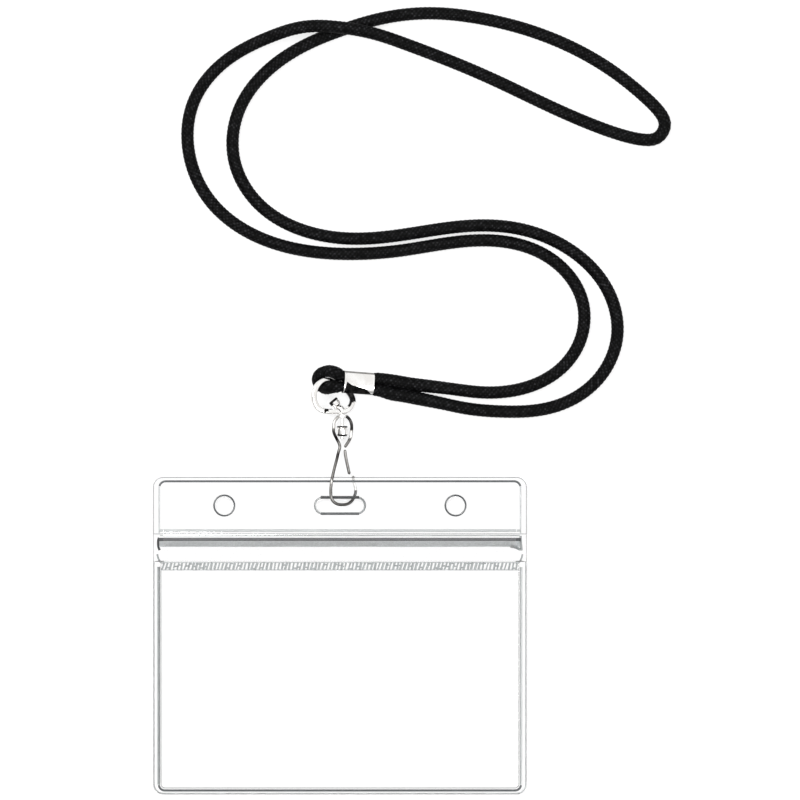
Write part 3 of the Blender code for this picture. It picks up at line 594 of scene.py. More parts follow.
def spun(bm, profile, steps=40):
    """A (radius, y) profile spun round the Y axis."""
    points = [bm.verts.new((radius, y, 0)) for radius, y in profile]
    edges = [bm.edges.new(pair) for pair in zip(points, points[1:])]
    if profile[0][0] > 0:
        edges.append(bm.edges.new((points[-1], points[0])))
    bmesh.ops.spin(bm, geom=points + edges, cent=(0, 0, 0), axis=(0, 1, 0), dvec=(0, 0, 0),
                   angle=2 * pi, steps=steps, use_merge=True, use_duplicate=False)
    bmesh.ops.remove_doubles(bm, verts=bm.verts, dist=0.002 * MM)
    outwards(bm)


def hook_path(shares):
    """Points along a wire of the hook, from its shares."""
    return even_points([(side * HOOK_REACH, HOOK_FOOT_Y + rise * HOOK_LENGTH, 0)
                        for side, rise in shares], WIRE_STEP)


def painted_shade_along(path, marks):
    """Painted shade for each point of a path, from (share of the length, shade) marks."""
    run = np.concatenate([[0], np.cumsum(np.linalg.norm(np.diff(path, axis=0), axis=1))])
    places, wears = zip(*marks)
    return np.interp(run / run[-1], places, wears)


def make_hook(finish):
    """The bent wire with its collar, and the spring arm; the painted shade is given by share of a
    wire's length.
    """
    # Painted shade and painted highlights along each wire, 0 bright to 1 near black
    arm_painted_shade = [(0.0, 0.35), (0.05, 0.35), (0.1, 0.3), (0.117, 0.85), (0.15, 1.0), (0.19, 1.0),
                (0.21, 0.65), (0.255, 0.6), (0.28, 0.7), (0.3, 0.95), (0.325, 0.95), (0.35, 0.8),
                (0.43, 0.72), (0.485, 0.75), (0.497, 0.4), (0.51, 0.35), (0.525, 0.65),
                (0.6, 0.7), (0.62, 0.5), (0.65, 0.65), (0.7, 0.75), (0.76, 0.75), (0.83, 0.8),
                (0.865, 1.0), (0.885, 0.9), (0.9, 0.05), (0.97, 0.0), (0.99, 0.4), (1.0, 0.4)]
    eye_painted_shade = [(0.0, 0.95), (0.12, 0.95), (0.2, 0.75), (0.3, 0.95), (0.45, 1.0), (0.5, 0.3),
                (0.66, 0.25), (0.74, 0.75), (0.8, 0.65), (1.0, 0.6)]
    latch_painted_shade = [(0.0, 0.5), (0.5, 0.58), (0.9, 0.62), (0.95, 0.9), (1.0, 0.9)]
    bm = bmesh.new()
    for shares, marks in ((ARM_SHARES, arm_painted_shade), (EYE_SHARES, eye_painted_shade)):
        path = hook_path(shares)
        round_tube(bm, path, round_ends(len(path), WIRE / 2, WIRE_STEP), 20,
                   wear_and_painted_shade=painted_shade_along(path, marks))
    outwards(bm)
    bore, collar, chamfer = SWIVEL_BORE, 1.15 * MM, 0.2 * MM
    spun(bm, [(bore, HOOK_TOP_Y), (collar - chamfer, HOOK_TOP_Y), (collar, HOOK_TOP_Y - chamfer),
              (collar, COLLAR_Y + chamfer), (collar - chamfer, COLLAR_Y), (bore, COLLAR_Y)])
    finish_piece("hook", bm, [finish], "hook", ["hook_bow"], HOOK_PLACE)
    bm = bmesh.new()
    path = hook_path(LATCH_SHARES)
    round_tube(bm, path, round_ends(len(path), WIRE / 2, WIRE_STEP), 20,
               wear_and_painted_shade=painted_shade_along(path, latch_painted_shade))
    outwards(bm)
    finish_piece("latch", bm, [finish], "latch", ["hook_latch"], HOOK_PLACE)


def refinish_faces(bm, chosen, finish=1):
    """Give another finish to the faces whose middle and normal are chosen, such as the near black
    of painted shade.
    """
    for face in bm.faces:
        if chosen(face.calc_center_median(), face.normal):
            face.material_index = finish


def join_part(bm, part):
    """Move a part's faces into a piece."""
    mesh = bpy.data.meshes.new("part")
    part.to_mesh(mesh)
    part.free()
    bm.from_mesh(mesh)
    bpy.data.meshes.remove(mesh)


def make_rivet(finishes):
    """The rivet, its head leaning and its tail straight, and the barrel round it."""
    shank, head = 0.5 * MM, 1.45 * MM
    seat = BOSS_Y + 2.4 * MM
    top = seat + 2.7 * MM
    foot = BARREL_TOP_Y - BARREL_LENGTH
    tail_top = foot - GAP
    rim = top - 0.45 * MM
    dome = [(head * sin(pi * step / 20), top - (top - rim) * (1 - cos(pi * step / 20)))
            for step in range(11)]
    profile = dome + [(head, rim - 0.45 * MM), (head, rim - 1 * MM), (head, rim - 1.6 * MM),
                      (head - 0.5 * MM, rim - 2.1 * MM), (shank + GAP, seat), (shank, seat),
                      (shank, BOSS_Y + 0.3 * MM), (0, BOSS_Y + 0.3 * MM)]
    bm = bmesh.new()
    spun(bm, profile)
    # A band round the head at its rim, and the head's side towards -X, are painted near black:
    # painted shade and painted dark reflections
    refinish_faces(bm, lambda at, normal: rim - 0.45 * MM < at.y < rim + 0.25 * MM
            or normal.x < -0.5 and rim - 1.3 * MM < at.y < rim)
    bmesh.ops.transform(bm, matrix=BOSS_LEAN, verts=bm.verts)
    tail = bmesh.new()
    spun(tail, [(0, BOSS_Y + 0.6 * MM), (shank, BOSS_Y + 0.6 * MM), (shank, tail_top),
                (0.7 * MM, tail_top), (0.75 * MM, tail_top - 0.1 * MM),
                (0.75 * MM, tail_top - 0.3 * MM), (0.6 * MM, tail_top - 0.5 * MM),
                (0.35 * MM, tail_top - 0.6 * MM), (0, tail_top - 0.6 * MM)])
    join_part(bm, tail)
    finish_piece("rivet", bm, finishes, "ring", ["swivel_rivet"], SWIVEL_PLACE)
    bore, outer = SWIVEL_BORE, 1.55 * MM
    bm = bmesh.new()
    collar = BARREL_TOP_Y - 0.45 * MM
    spun(bm, [(bore, BARREL_TOP_Y), (outer - 0.15 * MM, BARREL_TOP_Y),
              (outer, BARREL_TOP_Y - 0.15 * MM), (outer, collar),
              (outer - 0.35 * MM, collar - 0.2 * MM), (outer - 0.05 * MM, collar - 0.5 * MM),
              (outer, foot + 0.55 * MM), (outer - 0.12 * MM, foot + 0.25 * MM),
              (outer - 0.35 * MM, foot), (bore, foot)])
    # The barrel's top above its groove and its lower end are painted near black: painted shade
    refinish_faces(bm, lambda at, normal: at.y > collar + 0.02 * MM or at.y < foot + 0.57 * MM)
    finish_piece("barrel", bm, finishes, "ring", ["swivel_barrel"], SWIVEL_PLACE)


def make_ring(finishes):
    """A closed band with rounded edges, and the boss that takes the rivet."""
    outline = [(side * RING_WIDTH, RING_FOOT_Y + rise * RING_HEIGHT, 0)
               for side, rise in RING_SHARES]
    path = even_loop(outline, 0.35 * MM)
    side, up = moving_frames(path, up=(0, 0, 1), closed=True)
    around = 20
    angles = round_angles(around)
    square = 0.55
    across = RING_SEEN / 2 * squared(np.cos(angles), square)
    depth = RING_DEPTH / 2 * squared(np.sin(angles), square)

    def ring(index):
        return [path[index] + x * side[index] + y * up[index] for x, y in zip(across, depth)]

    bm = bmesh.new()
    tube_grid(bm, path, ring, around, closed=True)
    outwards(bm)
    bore, outer, chamfer = SWIVEL_BORE, 1.1 * MM, 0.12 * MM
    foot, top = BOSS_Y + 0.8 * MM, BOSS_Y + 2.2 * MM

    # Faces painted near black: painted shade and painted dark reflections at the band's lower
    # inner bend and along its right side
    def painted_shade_spots(at, normal):
        rise = at.y - RING_FOOT_Y
        inner_bend = abs(at.x + 5.4 * MM) < 0.7 * MM and -0.2 * MM < rise < 2 * MM
        right_side = at.x > 2 * MM and 2.7 * MM < rise < 5.6 * MM
        right_inner = at.x > 1 * MM and normal.x < -0.2 and 1.4 * MM < rise < 5.6 * MM
        return inner_bend or right_side or right_inner

    refinish_faces(bm, painted_shade_spots)
    boss = bmesh.new()
    spun(boss, [(bore, top), (outer - chamfer, top), (outer, top - chamfer),
                (outer, foot + chamfer), (outer - chamfer, foot), (bore, foot)])
    # The boss's side towards -X is painted near black, a painted shade
    refinish_faces(boss, lambda at, normal: normal.x < -0.5)
    bmesh.ops.transform(boss, matrix=BOSS_LEAN, verts=boss.verts)
    join_part(bm, boss)
    finish_piece("ring", bm, finishes, "ring", ["swivel_ring"], RING_PLACE)


def make_ferrule(finishes):
    """The flat sheet sleeve, dented aslant where the crimping tool closed it."""
    around, rings, crease_row = 96, 110, 34
    power = 0.62
    stations = np.linspace(-FERRULE_LENGTH / 2, FERRULE_LENGTH / 2, rings)
    crease_x = [-4.55 * MM, -3.9 * MM, -2.4 * MM, -0.8 * MM, 1.1 * MM, 2.4 * MM, 4.1 * MM]
    crease_y = [-3.3 * MM, 0, -0.9 * MM, -1.2 * MM, -1.5 * MM, -1.9 * MM, -3.1 * MM]
    slope = 0.7

    def ring(index):
        x = stations[index]
        waist = 0.06 * MM * min(1, max(0, (x + 4.3 * MM) / (0.25 * MM)))
        crease = np.interp(x, crease_x, crease_y)
        turn = np.arccos(-(min(0.98, -crease / (FERRULE_LOWER - waist)) ** (1 / power)))
        angles = np.interp(np.arange(around), [0, crease_row, around / 2, around],
                           [0, turn, pi, 2 * pi])
        reach = np.where(np.cos(angles) > 0, FERRULE_UPPER, FERRULE_LOWER) - waist
        y = reach * squared(np.cos(angles), power)
        half = FERRULE_HEIGHT / 2 - waist
        z = half * squared(np.sin(angles), power)
        dent = half - slope * np.maximum(0, crease - y)
        return np.column_stack([np.full(around, x), y, np.minimum(z, dent)])

    bm = bmesh.new()
    tube_grid(bm, stations, ring, around)
    ends = [face for face in bm.faces if len(face.verts) > 4]
    bmesh.ops.delete(bm, geom=ends, context="FACES")
    outwards(bm)
    if sum(face.normal.dot(face.calc_center_median()) for face in bm.faces) < 0:
        bmesh.ops.reverse_faces(bm, faces=bm.faces)
    bmesh.ops.solidify(bm, geom=bm.faces, thickness=FERRULE_WALL)
    outwards(bm)
    # The dent's upward faces are painted near black: painted shade and painted dark reflection
    refinish_faces(bm, lambda at, normal: normal.z > 0 and at.y < np.interp(at.x, crease_x, crease_y))
    # The outer faces along the upper edge get a grey finish
    top_edge = FERRULE_UPPER - 0.5 * MM
    refinish_faces(bm, lambda at, normal: at.z > 0 and normal.y > 0.2 and at.y > top_edge, 2)
    finish_piece("ferrule", bm, finishes, "lanyard", ["crimp_ferrule"],
                 FERRULE_PLACE, smooth=20)


def sleeve_piece(name, bm, finishes, node, body="sleeve"):
    """A piece of sheet in the sleeve's own plane, which stands for one solid."""
    finish_piece(name, bm, finishes, body, [node], SLEEVE_PLACE, smooth=20)


def flat_face(bm, left, low, right, high, z, radius=0, rounded=lambda x, y: True):
    """A rectangle whose corners are rounded where rounded says so."""
    made = bmesh.ops.create_grid(bm, x_segments=1, y_segments=1, size=0.5)
    for vert in made["verts"]:
        vert.co = (left if vert.co.x < 0 else right, low if vert.co.y < 0 else high, z)
    corners = [vert for vert in made["verts"] if rounded(vert.co.x, vert.co.y)]
    if radius and corners:
        bmesh.ops.bevel(bm, geom=corners, offset=radius, offset_type="OFFSET", segments=10,
                        profile=0.5, affect="VERTICES", material=-1)
    return max(bm.faces, key=lambda f: f.calc_area())


def thicken(bm, face, move):
    """Extrude a face into a solid."""
    grown = bmesh.ops.extrude_face_region(bm, geom=[face])
    moved = [part for part in grown["geom"] if isinstance(part, bmesh.types.BMVert)]
    bmesh.ops.translate(bm, verts=moved, vec=move)
    outwards(bm)


def soften_rims(bm):
    """Round the cut edges of a sheet and mark the rounded faces as cut vinyl, whose grey is
    painted edge shade.
    """
    edges = [edge for edge in bm.edges if edge.is_manifold
             and edge.calc_face_angle(0) > radians(60)
             and abs(edge.link_faces[0].normal.z) + abs(edge.link_faces[1].normal.z) > 0.9]
    for face in bm.faces:
        if abs(face.normal.z) < 0.5:
            face.material_index = CUT
    made = bmesh.ops.bevel(bm, geom=edges, offset=RIM_ROUNDING, offset_type="OFFSET", segments=2,
                           profile=0.5, affect="EDGES", material=-1, clamp_overlap=True)
    for face in made["faces"]:
        face.material_index = CUT


def punched(bm, name):
    """Cut the slot and the two chain holes out of a closed sheet."""
    sheet = object_from(name, bm)
    tool_bm = bmesh.new()
    slot_half = SLOT_HEIGHT / 2
    face = flat_face(tool_bm, -SLOT_LENGTH / 2, SLOT_Y - slot_half, SLOT_LENGTH / 2,
                     SLOT_Y + slot_half, -1 * MM, slot_half - 0.01 * MM)
    thicken(tool_bm, face, (0, 0, 4 * MM))
    for x in (-HOLE_X, HOLE_X):
        bmesh.ops.create_cone(tool_bm, cap_ends=True, segments=48, radius1=HOLE_DIAMETER / 2,
                              radius2=HOLE_DIAMETER / 2, depth=4 * MM,
                              matrix=Matrix.Translation((x, SLOT_Y, 1 * MM)))
    tool = object_from("punch", tool_bm)
    cut = sheet.modifiers.new("punch", "BOOLEAN")
    cut.object, cut.operation, cut.solver = tool, "DIFFERENCE", "EXACT"
    graph = bpy.context.evaluated_depsgraph_get()
    result = bmesh.new()
    result.from_mesh(bpy.data.meshes.new_from_object(sheet.evaluated_get(graph)))
    bpy.data.objects.remove(sheet)
    bpy.data.objects.remove(tool)
    bmesh.ops.dissolve_limit(result, angle_limit=radians(1), verts=result.verts,
                             edges=result.edges)
    return result


def bead(bm, points, width, height, z, finish=PRESSED, closed=False):
    """A low rounded ridge that a press leaves on a sheet, along (x, y) points; its grey finish,
    faint to near black, is painted shade.
    """
    path = np.array([(x, y, z) for x, y in points])
    side, up = moving_frames(path, up=(0, 0, 1), closed=closed)
    around = 8
    angles = round_angles(around)

    def ring(index):
        return [path[index] + width / 2 * cos(a) * side[index] + height * sin(a) * up[index]
                for a in angles]

    part = bmesh.new()
    tube_grid(part, path, ring, around, closed)
    outwards(part)
    for face in part.faces:
        face.material_index = finish
    join_part(bm, part)


def arc(centre_x, centre_y, radius, start, end, steps=8):
    """Points on an arc from start to end, in degrees."""
    turns = [radians(start + (end - start) * step / steps) for step in range(steps + 1)]
    return [(centre_x + radius * cos(turn), centre_y + radius * sin(turn)) for turn in turns]


def make_back(finishes):
    """The rear sheet, with the press line round its edge and a curl at each end of the mouth."""
    half = SLEEVE_WIDTH / 2
    bm = bmesh.new()
    thicken(bm, flat_face(bm, -half, 0, half, SLEEVE_HEIGHT, 0, CORNER_RADIUS), (0, 0, SHEET))
    bm = punched(bm, "back")
    soften_rims(bm)
    inset = 0.22 * MM
    edge, bend = half - inset, CORNER_RADIUS - inset
    line = [(-edge, MOUTH_Y), (-edge, MOUTH_Y / 2)]
    line += arc(-edge + bend, inset + bend, bend, 180, 270) + [(0, inset)]
    line += arc(edge - bend, inset + bend, bend, 270, 360) + [(edge, MOUTH_Y / 2), (edge, MOUTH_Y)]
    bead(bm, line, 0.42 * MM, 0.05 * MM, SHEET, FAINT)
    for side in (-1, 1):
        bead(bm, [(side * x * MM, y * MM) for x, y in [(53.8, 70.8), (53.6, 69.8), (53.2, 69.0),
                                                       (52.6, 68.4), (51.8, 68.0)]],
             0.5 * MM, 0.08 * MM, SHEET)
    sleeve_piece("back_sheet", bm, finishes, "rear_sheet")


def make_header(finishes):
    """The header's second layer, its weld lines, and grey beads of painted shade along the cut
    edges of its slot and holes.
    """
    half = SLEEVE_WIDTH / 2
    top_weld = 1.2 * MM
    bm = bmesh.new()
    face = flat_face(bm, -half, HEADER_Y, half, SLEEVE_HEIGHT, LAYER_FLOOR, CORNER_RADIUS,
                     lambda x, y: y > SLOT_Y)
    thicken(bm, face, (0, 0, SHEET))
    bm = punched(bm, "header")
    soften_rims(bm)
    inner = half - SIDE_WELD
    high = SLEEVE_HEIGHT - top_weld
    radius = 1.9 * MM
    top = LAYER_FLOOR + SHEET
    line = arc(-inner + radius, high - radius, radius, 165, 90)
    line += arc(inner - radius, high - radius, radius, 90, 15)
    bead(bm, line, 0.6 * MM, 0.1 * MM, top, CUT)
    centre = LAYER_FLOOR + SHEET / 2
    # Grey rings of painted shade round the chain holes' cut edges
    for x in (-HOLE_X, HOLE_X):
        bead(bm, arc(x, SLOT_Y, HOLE_DIAMETER / 2, 0, 360, 48)[:-1], 0.5 * MM, 0.22 * MM, centre,
             CUT, closed=True)
    # The slot's edges carry painted shade: near black along the top, grey along the bottom, darker
    # at the right end than at the left
    end_x, end_radius = (SLOT_LENGTH - SLOT_HEIGHT) / 2, SLOT_HEIGHT / 2
    for y, width, mark in ((SLOT_Y + end_radius, 0.85 * MM, DARK_SHADE),
                           (SLOT_Y - end_radius, 0.75 * MM, CUT)):
        bead(bm, [(x, y) for x in np.linspace(-end_x - 0.7 * MM, end_x + 0.7 * MM, 12)], width,
             0.24 * MM, centre, mark)
    bead(bm, arc(end_x, SLOT_Y, end_radius, 70, -70, 16), 0.6 * MM, 0.2 * MM, centre)
    bead(bm, arc(-end_x, SLOT_Y, end_radius, 110, 250, 16), 0.5 * MM, 0.2 * MM, centre, FAINT)
    for side in (-1, 1):
        bead(bm, [(side * inner, HEADER_Y + 0.3 * MM), (side * inner, (HEADER_Y + high) / 2),
                  (side * inner, high - 0.8 * radius)], 0.45 * MM, 0.06 * MM, top, FAINT)
        bead(bm, [(side * x * MM, HEADER_Y + LIP_OVERLAP - 0.2 * MM) for x in (52.1, 52.7, 53.3)],
             0.7 * MM, 0.1 * MM, top, FAINT)
    sleeve_piece("header", bm, finishes, "header_sheet")


def make_window(finishes):
    """The pocket's front sheet: a flat rim, a pressed step, and the raised window."""
    half = SLEEVE_WIDTH / 2
    bm = bmesh.new()
    face = flat_face(bm, -half, 0, half, MOUTH_Y, LAYER_FLOOR, CORNER_RADIUS,
                     lambda x, y: y < HEADER_Y / 2)
    bmesh.ops.inset_region(bm, faces=[face], thickness=BOTTOM_WELD, use_even_offset=True,
                           use_boundary=True)
    centre = max(bm.faces, key=lambda f: f.calc_area())
    for vert in centre.verts:
        if vert.co.y > MOUTH_Y - 2 * BOTTOM_WELD:
            vert.co.y = MOUTH_Y
        reach = SIDE_WELD - BOTTOM_WELD
        vert.co.x -= reach if vert.co.x > 0 else -reach
    bmesh.ops.inset_region(bm, faces=[centre], thickness=POCKET_STEP, use_even_offset=True)
    middle = max(bm.faces, key=lambda f: f.calc_area())
    for vert in middle.verts:
        vert.co.z = WINDOW_FLOOR
        if vert.co.y > MOUTH_Y - 2 * POCKET_STEP:
            vert.co.y = MOUTH_Y
    bmesh.ops.dissolve_degenerate(bm, dist=0.001 * MM, edges=bm.edges)
    bmesh.ops.delete(bm, geom=[f for f in bm.faces if f.calc_area() < 1e-9], context="FACES")
    outwards(bm)
    if sum(f.normal.z * f.calc_area() for f in bm.faces) < 0:
        bmesh.ops.reverse_faces(bm, faces=bm.faces)
    bmesh.ops.solidify(bm, geom=bm.faces, thickness=-SHEET)
    outwards(bm)
    inner, low, radius = half - 1.7 * MM, 1.2 * MM, 1.7 * MM
    top = LAYER_FLOOR + SHEET
    # Painted shade on the side press lines: the left one grey, the right one faint
    for side, mark in ((-1, PRESSED), (1, FAINT)):
        bead(bm, [(side * inner, MOUTH_Y - 1.5 * MM), (side * inner, MOUTH_Y / 2),
                  (side * inner, low + radius)], 0.95 * MM, 0.06 * MM, top, mark)
    line = arc(-inner + radius, low + radius, radius, 185, 270)
    line += arc(inner - radius, low + radius, radius, 270, 355)
    bead(bm, line, 0.72 * MM, 0.1 * MM, top, CUT)
    sleeve_piece("window", bm, finishes, "window_sheet")


def slab(bm, profile, length, finish_of=None):
    """A (y, z) profile run along X; finish_of gives a face's finish from its middle."""
    face = bm.faces.new([bm.verts.new((-length / 2, y, z)) for y, z in profile])
    thicken(bm, face, (length, 0, 0))
    if finish_of:
        for f in bm.faces:
            f.material_index = finish_of(f.calc_center_median())


def make_zip(finishes):
    """The zip: a rear strip with a thick upper wall and a thin lower one, and its lip."""
    floor = LAYER_FLOOR + ZIP_BASE
    low_y = ZIP_TOP_Y - ZIP_BASE_HEIGHT
    profile = [(low_y, LAYER_FLOOR), (ZIP_TOP_Y, LAYER_FLOOR), (ZIP_TOP_Y, floor)]
    upper_wall = (UPPER_WALL_Y + 0.2 * MM, UPPER_WALL_Y - 0.84 * MM)
    lower_wall = (UPPER_WALL_Y - 2.1 * MM, UPPER_WALL_Y - 2.45 * MM)
    groove = upper_wall[1] - 0.2 * MM
    for high, low in (upper_wall, lower_wall):
        profile += [(high, floor), (high, WALL_TOP), (low, WALL_TOP), (low, floor)]
        if low > groove:
            profile.append((groove, floor))
    profile.append((low_y, floor))

    # Painted shade on the zip walls: the upper wall near black, a faint band below it, and grey
    # down to the lower wall
    def wall_finish(centre):
        if upper_wall[1] - 0.01 * MM < centre.y < upper_wall[0] + 0.01 * MM and centre.z > floor:
            return DARK_SHADE
        if groove < centre.y < upper_wall[1] and centre.z > LAYER_FLOOR + 0.01 * MM:
            return FAINT
        within = lower_wall[1] - 0.01 * MM < centre.y < groove
        return PRESSED if within and centre.z > LAYER_FLOOR + 0.01 * MM else CLEAR

    bm = bmesh.new()
    slab(bm, profile, ZIP_LENGTH, wall_finish)
    top = floor + 0.1 * MM
    left_stop = [(-53.3, 75.7), (-53.5, 75.0), (-53.55, 74.0), (-53.45, 73.0), (-53.1, 72.0)]
    right_stop = [(53.2, 76.2), (53.25, 75.0), (53.3, 74.0), (53.4, 73.0), (53.5, 71.9)]
    # The left stop is near black and the right one grey: painted shade
    for points, finish in ((left_stop, DARK_SHADE), (right_stop, PRESSED)):
        bead(bm, [(x * MM, y * MM) for x, y in points], 0.7 * MM, 0.4 * MM, top, finish)
    bead(bm, [(x * MM, ZIP_TOP_Y - 0.1 * MM) for x in np.linspace(-53, 53, 40)], 0.35 * MM,
         0.08 * MM, floor, FAINT)
    flare = [(50.2, 73.1), (51.2, 73.0), (52.1, 72.7), (53.1, 72.2)]
    bead(bm, [(x * MM, y * MM) for x, y in flare], 0.8 * MM, 0.3 * MM, top, PRESSED)
    sleeve_piece("zip_channel", bm, finishes, "zip_rear_strip")
    half = SHEET / 2
    lip_floor = LAYER_FLOOR + SHEET + GAP
    crest_floor = WALL_TOP + GAP
    crest_low = UPPER_WALL_Y - WALL_SPACING - WALL - GAP
    crest_high = UPPER_WALL_Y + WALL + GAP
    start_y, end_y = MOUTH_Y + SHEET + 0.2 * MM, HEADER_Y + LIP_OVERLAP
    middles = [(start_y, WINDOW_FLOOR + half), ((start_y + crest_low) / 2, WALL_TOP + half),
               (crest_low, crest_floor + half), (crest_high, crest_floor + half),
               ((crest_high + end_y) / 2, lip_floor + 2 * half), (end_y, lip_floor + half)]
    tongue_y = (upper_wall[1] + lower_wall[0]) / 2
    tongue_half = 0.3 * MM
    tongue = [(tongue_y - tongue_half, crest_floor), (tongue_y - tongue_half, floor + GAP),
              (tongue_y + tongue_half, floor + GAP), (tongue_y + tongue_half, crest_floor)]
    lower = [(y, z - half) for y, z in middles]
    upper = [(y, z + half) for y, z in middles]
    profile = lower[:3] + tongue + lower[3:] + upper[::-1]

    def strip_finish(centre):
        return FAINT if centre.y > end_y - 0.02 * MM else CLEAR

    bm = bmesh.new()
    slab(bm, profile, ZIP_LENGTH - 2.6 * MM, strip_finish)
    edge = [(x, end_y - 0.2 * MM) for x in np.linspace(-51.9 * MM, 51.9 * MM, 40)]
    bead(bm, edge, 0.7 * MM, 0.12 * MM, lip_floor + SHEET, FAINT)
    sleeve_piece("zip_lip", bm, finishes, "zip_front_strip", "zip_flap")


def make_flange(finishes):
    """The knurled band that the welding wheel leaves under the mouth."""
    length = SLEEVE_WIDTH - 2 * (SIDE_WELD + POCKET_STEP)
    floor = WINDOW_FLOOR + SHEET + GAP
    top = floor + 0.2 * MM
    low_y, high_y = MOUTH_Y - FLANGE_HEIGHT - 0.25 * MM, MOUTH_Y
    bm = bmesh.new()
    slab(bm, [(low_y, floor), (high_y, floor), (high_y, top), (low_y, top)], length)
    for y in (low_y + 0.2 * MM, high_y - 0.2 * MM):
        bead(bm, [(x, y) for x in np.linspace(-length / 2, length / 2, 40)], 0.35 * MM, 0.05 * MM,
             top, FAINT)
    dice = np.random.default_rng(7)
    count = round(length / KNURL_PITCH)
    for index in range(count):
        x = -length / 2 + (index + 0.5) * length / count + dice.uniform(-0.08, 0.08) * MM
        slant = dice.uniform(0.35, 0.8) * MM
        high = high_y - dice.uniform(0.1, 0.25) * MM
        low = low_y + dice.uniform(0.1, 0.25) * MM
        bead(bm, [(x - slant / 2, low), (x, (high + low) / 2), (x + slant / 2, high)],
             dice.uniform(0.4, 0.75) * MM, 0.1 * MM, top)
        if dice.random() < 0.55:
            level = dice.uniform(low + 0.2 * MM, high - 0.2 * MM)
            reach = dice.uniform(0.6, 1.5) * MM
            bead(bm, [(x, level), (x + reach / 2, level + 0.05 * MM), (x + reach, level)],
                 0.4 * MM, 0.07 * MM, top)
    sleeve_piece("weld_band", bm, finishes, "zip_weld_flange")


def make_stage():
    """The table. It takes shadows, and the camera sees through it to pieces below its plane."""
    seen_through = 0.72
    bm = bmesh.new()
    bmesh.ops.create_grid(bm, x_segments=1, y_segments=1, size=1.5,
                          matrix=Matrix.Translation((0, 0.05, -0.00005)))
    table = object_from("table", bm)
    made = bpy.data.materials.new("white_table")
    made.use_nodes = True
    tree = made.node_tree
    tree.nodes.clear()
    seen = add_node(tree, "LightPath")
    direct = add_node(tree, "Math", {0: seen.outputs["Is Camera Ray"], 1: seen_through},
                      operation="MULTIPLY")
    passed = add_node(tree, "Math", {0: seen.outputs["Is Glossy Ray"],
                                     1: seen.outputs["Is Transmission Ray"]}, operation="MAXIMUM")
    paint = add_node(tree, "BsdfDiffuse", {"Color": linear("#f4f4f4")})
    glow = add_node(tree, "Emission", {"Color": (1, 1, 1, 1), "Strength": WHITE})
    lit = add_node(tree, "MixShader", {"Fac": passed.outputs["Value"], 1: paint.outputs["BSDF"],
                                       2: glow.outputs["Emission"]})
    through = add_node(tree, "BsdfTransparent", {"Color": (1, 1, 1, 1)})
    mixed = add_node(tree, "MixShader", {"Fac": direct.outputs["Value"], 1: lit.outputs["Shader"],
                                         2: through.outputs["BSDF"]})
    add_node(tree, "OutputMaterial", {"Surface": mixed.outputs["Shader"]})
    table.data.materials.append(made)


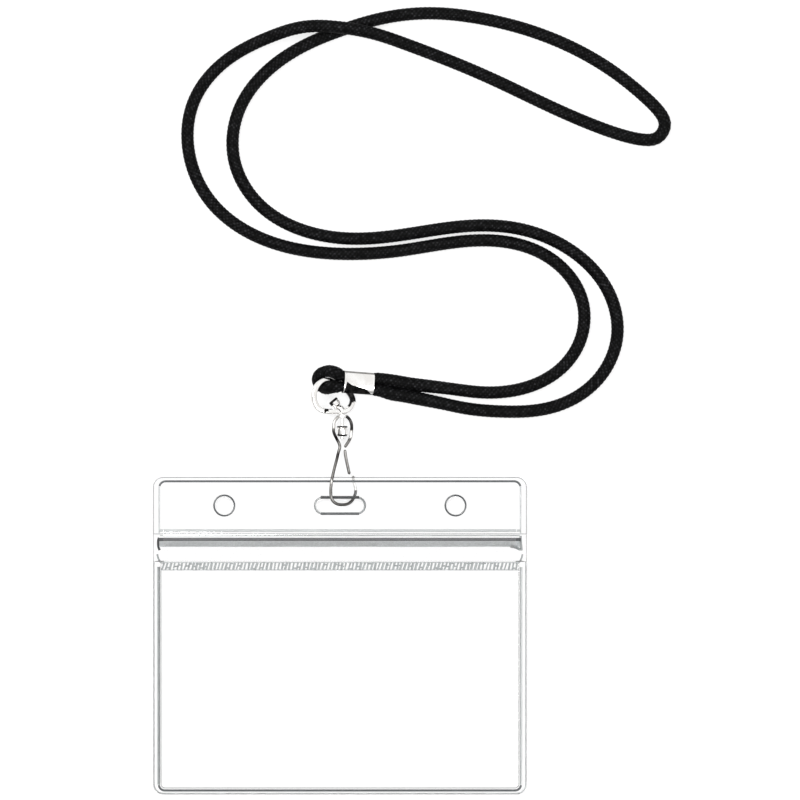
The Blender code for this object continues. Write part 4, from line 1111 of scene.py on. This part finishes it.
def make_light():
    """A white tent, dim low down so that clear and bright things get grey edges, and two lamps."""
    dim = 0.42
    world = bpy.data.worlds.new("studio")
    bpy.context.scene.world = world
    world.use_nodes = True
    tree = world.node_tree
    tree.nodes.clear()
    way = add_node(tree, "TexCoord").outputs["Generated"]
    lean = add_node(tree, "VectorMath", {0: way, 1: (0.24, 0.41, 0.88)},
                    operation="DOT_PRODUCT").outputs["Value"]
    rise = add_node(tree, "SeparateXYZ", {"Vector": way}).outputs["Z"]
    tent = add_node(tree, "MapRange", {"Value": lean, "From Min": 0.3, "From Max": 0.6,
                                       "To Min": dim, "To Max": 1.0}).outputs["Result"]
    rim = add_node(tree, "MapRange", {"Value": rise, "From Min": 0.04, "From Max": 0.2,
                                      "To Min": dim, "To Max": 1.0}).outputs["Result"]
    tent = add_node(tree, "Math", {0: tent, 1: rim}, operation="MINIMUM").outputs["Value"]
    under = add_node(tree, "Math", {0: rise, 1: -0.02}, operation="LESS_THAN").outputs["Value"]
    tent = add_node(tree, "Math", {0: tent, 1: under}, operation="MAXIMUM").outputs["Value"]
    seen = add_node(tree, "LightPath").outputs["Is Camera Ray"]
    strength = add_node(tree, "Mix", {"Factor": seen, 2: tent, 3: WHITE}, data_type="FLOAT")
    sky = add_node(tree, "Background", {"Color": (1, 1, 1, 1), "Strength": strength.outputs[0]})
    add_node(tree, "OutputWorld", {"Surface": sky.outputs["Background"]})
    for name, place, size, power in [("key", (-0.35, 0.35, 0.9), 0.5, 9.0),
                                     ("fill", (0.45, -0.2, 0.8), 0.4, 4.0)]:
        data = bpy.data.lights.new(name, "AREA")
        data.shape = "SQUARE"
        data.size = size
        data.energy = power
        lamp = show(bpy.data.objects.new(name, data))
        lamp.location = place
        aim = Vector((0.0, 0.05, 0)) - Vector(place)
        lamp.rotation_euler = aim.to_track_quat("-Z", "Y").to_euler()
        lamp.visible_camera = False
    bpy.context.scene.view_settings.view_transform = "Standard"


make_camera()
make_lanyard()
make_bight()
# Bright metal, near black for the painted shade and painted dark reflections on it, and a grey for
# the ferrule's upper edge
bright_finish = plated_nickel("nickel_plated_stamping", "#fbfaf8", "#f0eeeb", 0.06, 0.05, 3 * MM)
painted_shade_finish = plated_nickel("nickel_plate_painted_shade", "#2b2a29", "#0f0f0f", 0.4, 0.1, 1 * MM)
grey_edge_finish = plated_nickel("grey_edged_nickel_plate", "#a09e9b", "#83817f", 0.4, 0.1, 1 * MM)
# From clear through faint and grey lines to near black: painted shade along the sheets' press
# marks and cut edges
vinyl = [
    calendered_vinyl(),
    vinyl_with_painted_shade("welded_pvc_painted_shade", "#a4a8a9", "#8a8e8f", 0.5, 0.35, 0.4 * MM),
    vinyl_with_painted_shade("cut_pvc_edge_painted_shade", "#5a5e61", "#494c4f", 0.5, 0.3, 0.3 * MM),
    vinyl_with_painted_shade("faintly_pressed_pvc_painted_shade", "#d2d5d5", "#c4c7c7", 0.7, 0.3, 0.4 * MM),
    vinyl_with_painted_shade("pvc_edge_dark_painted_shade", "#2b2d2f", "#202224", 0.5, 0.3, 0.3 * MM),
]
make_ring([bright_finish, painted_shade_finish])
make_rivet([bright_finish, painted_shade_finish])
make_hook(wire_with_painted_shade("nickel_plated_spring_wire"))
make_ferrule([bright_finish, painted_shade_finish, grey_edge_finish])
make_back(vinyl)
make_header(vinyl)
make_window(vinyl)
make_zip(vinyl)
make_flange(vinyl)
make_stage()
make_light()
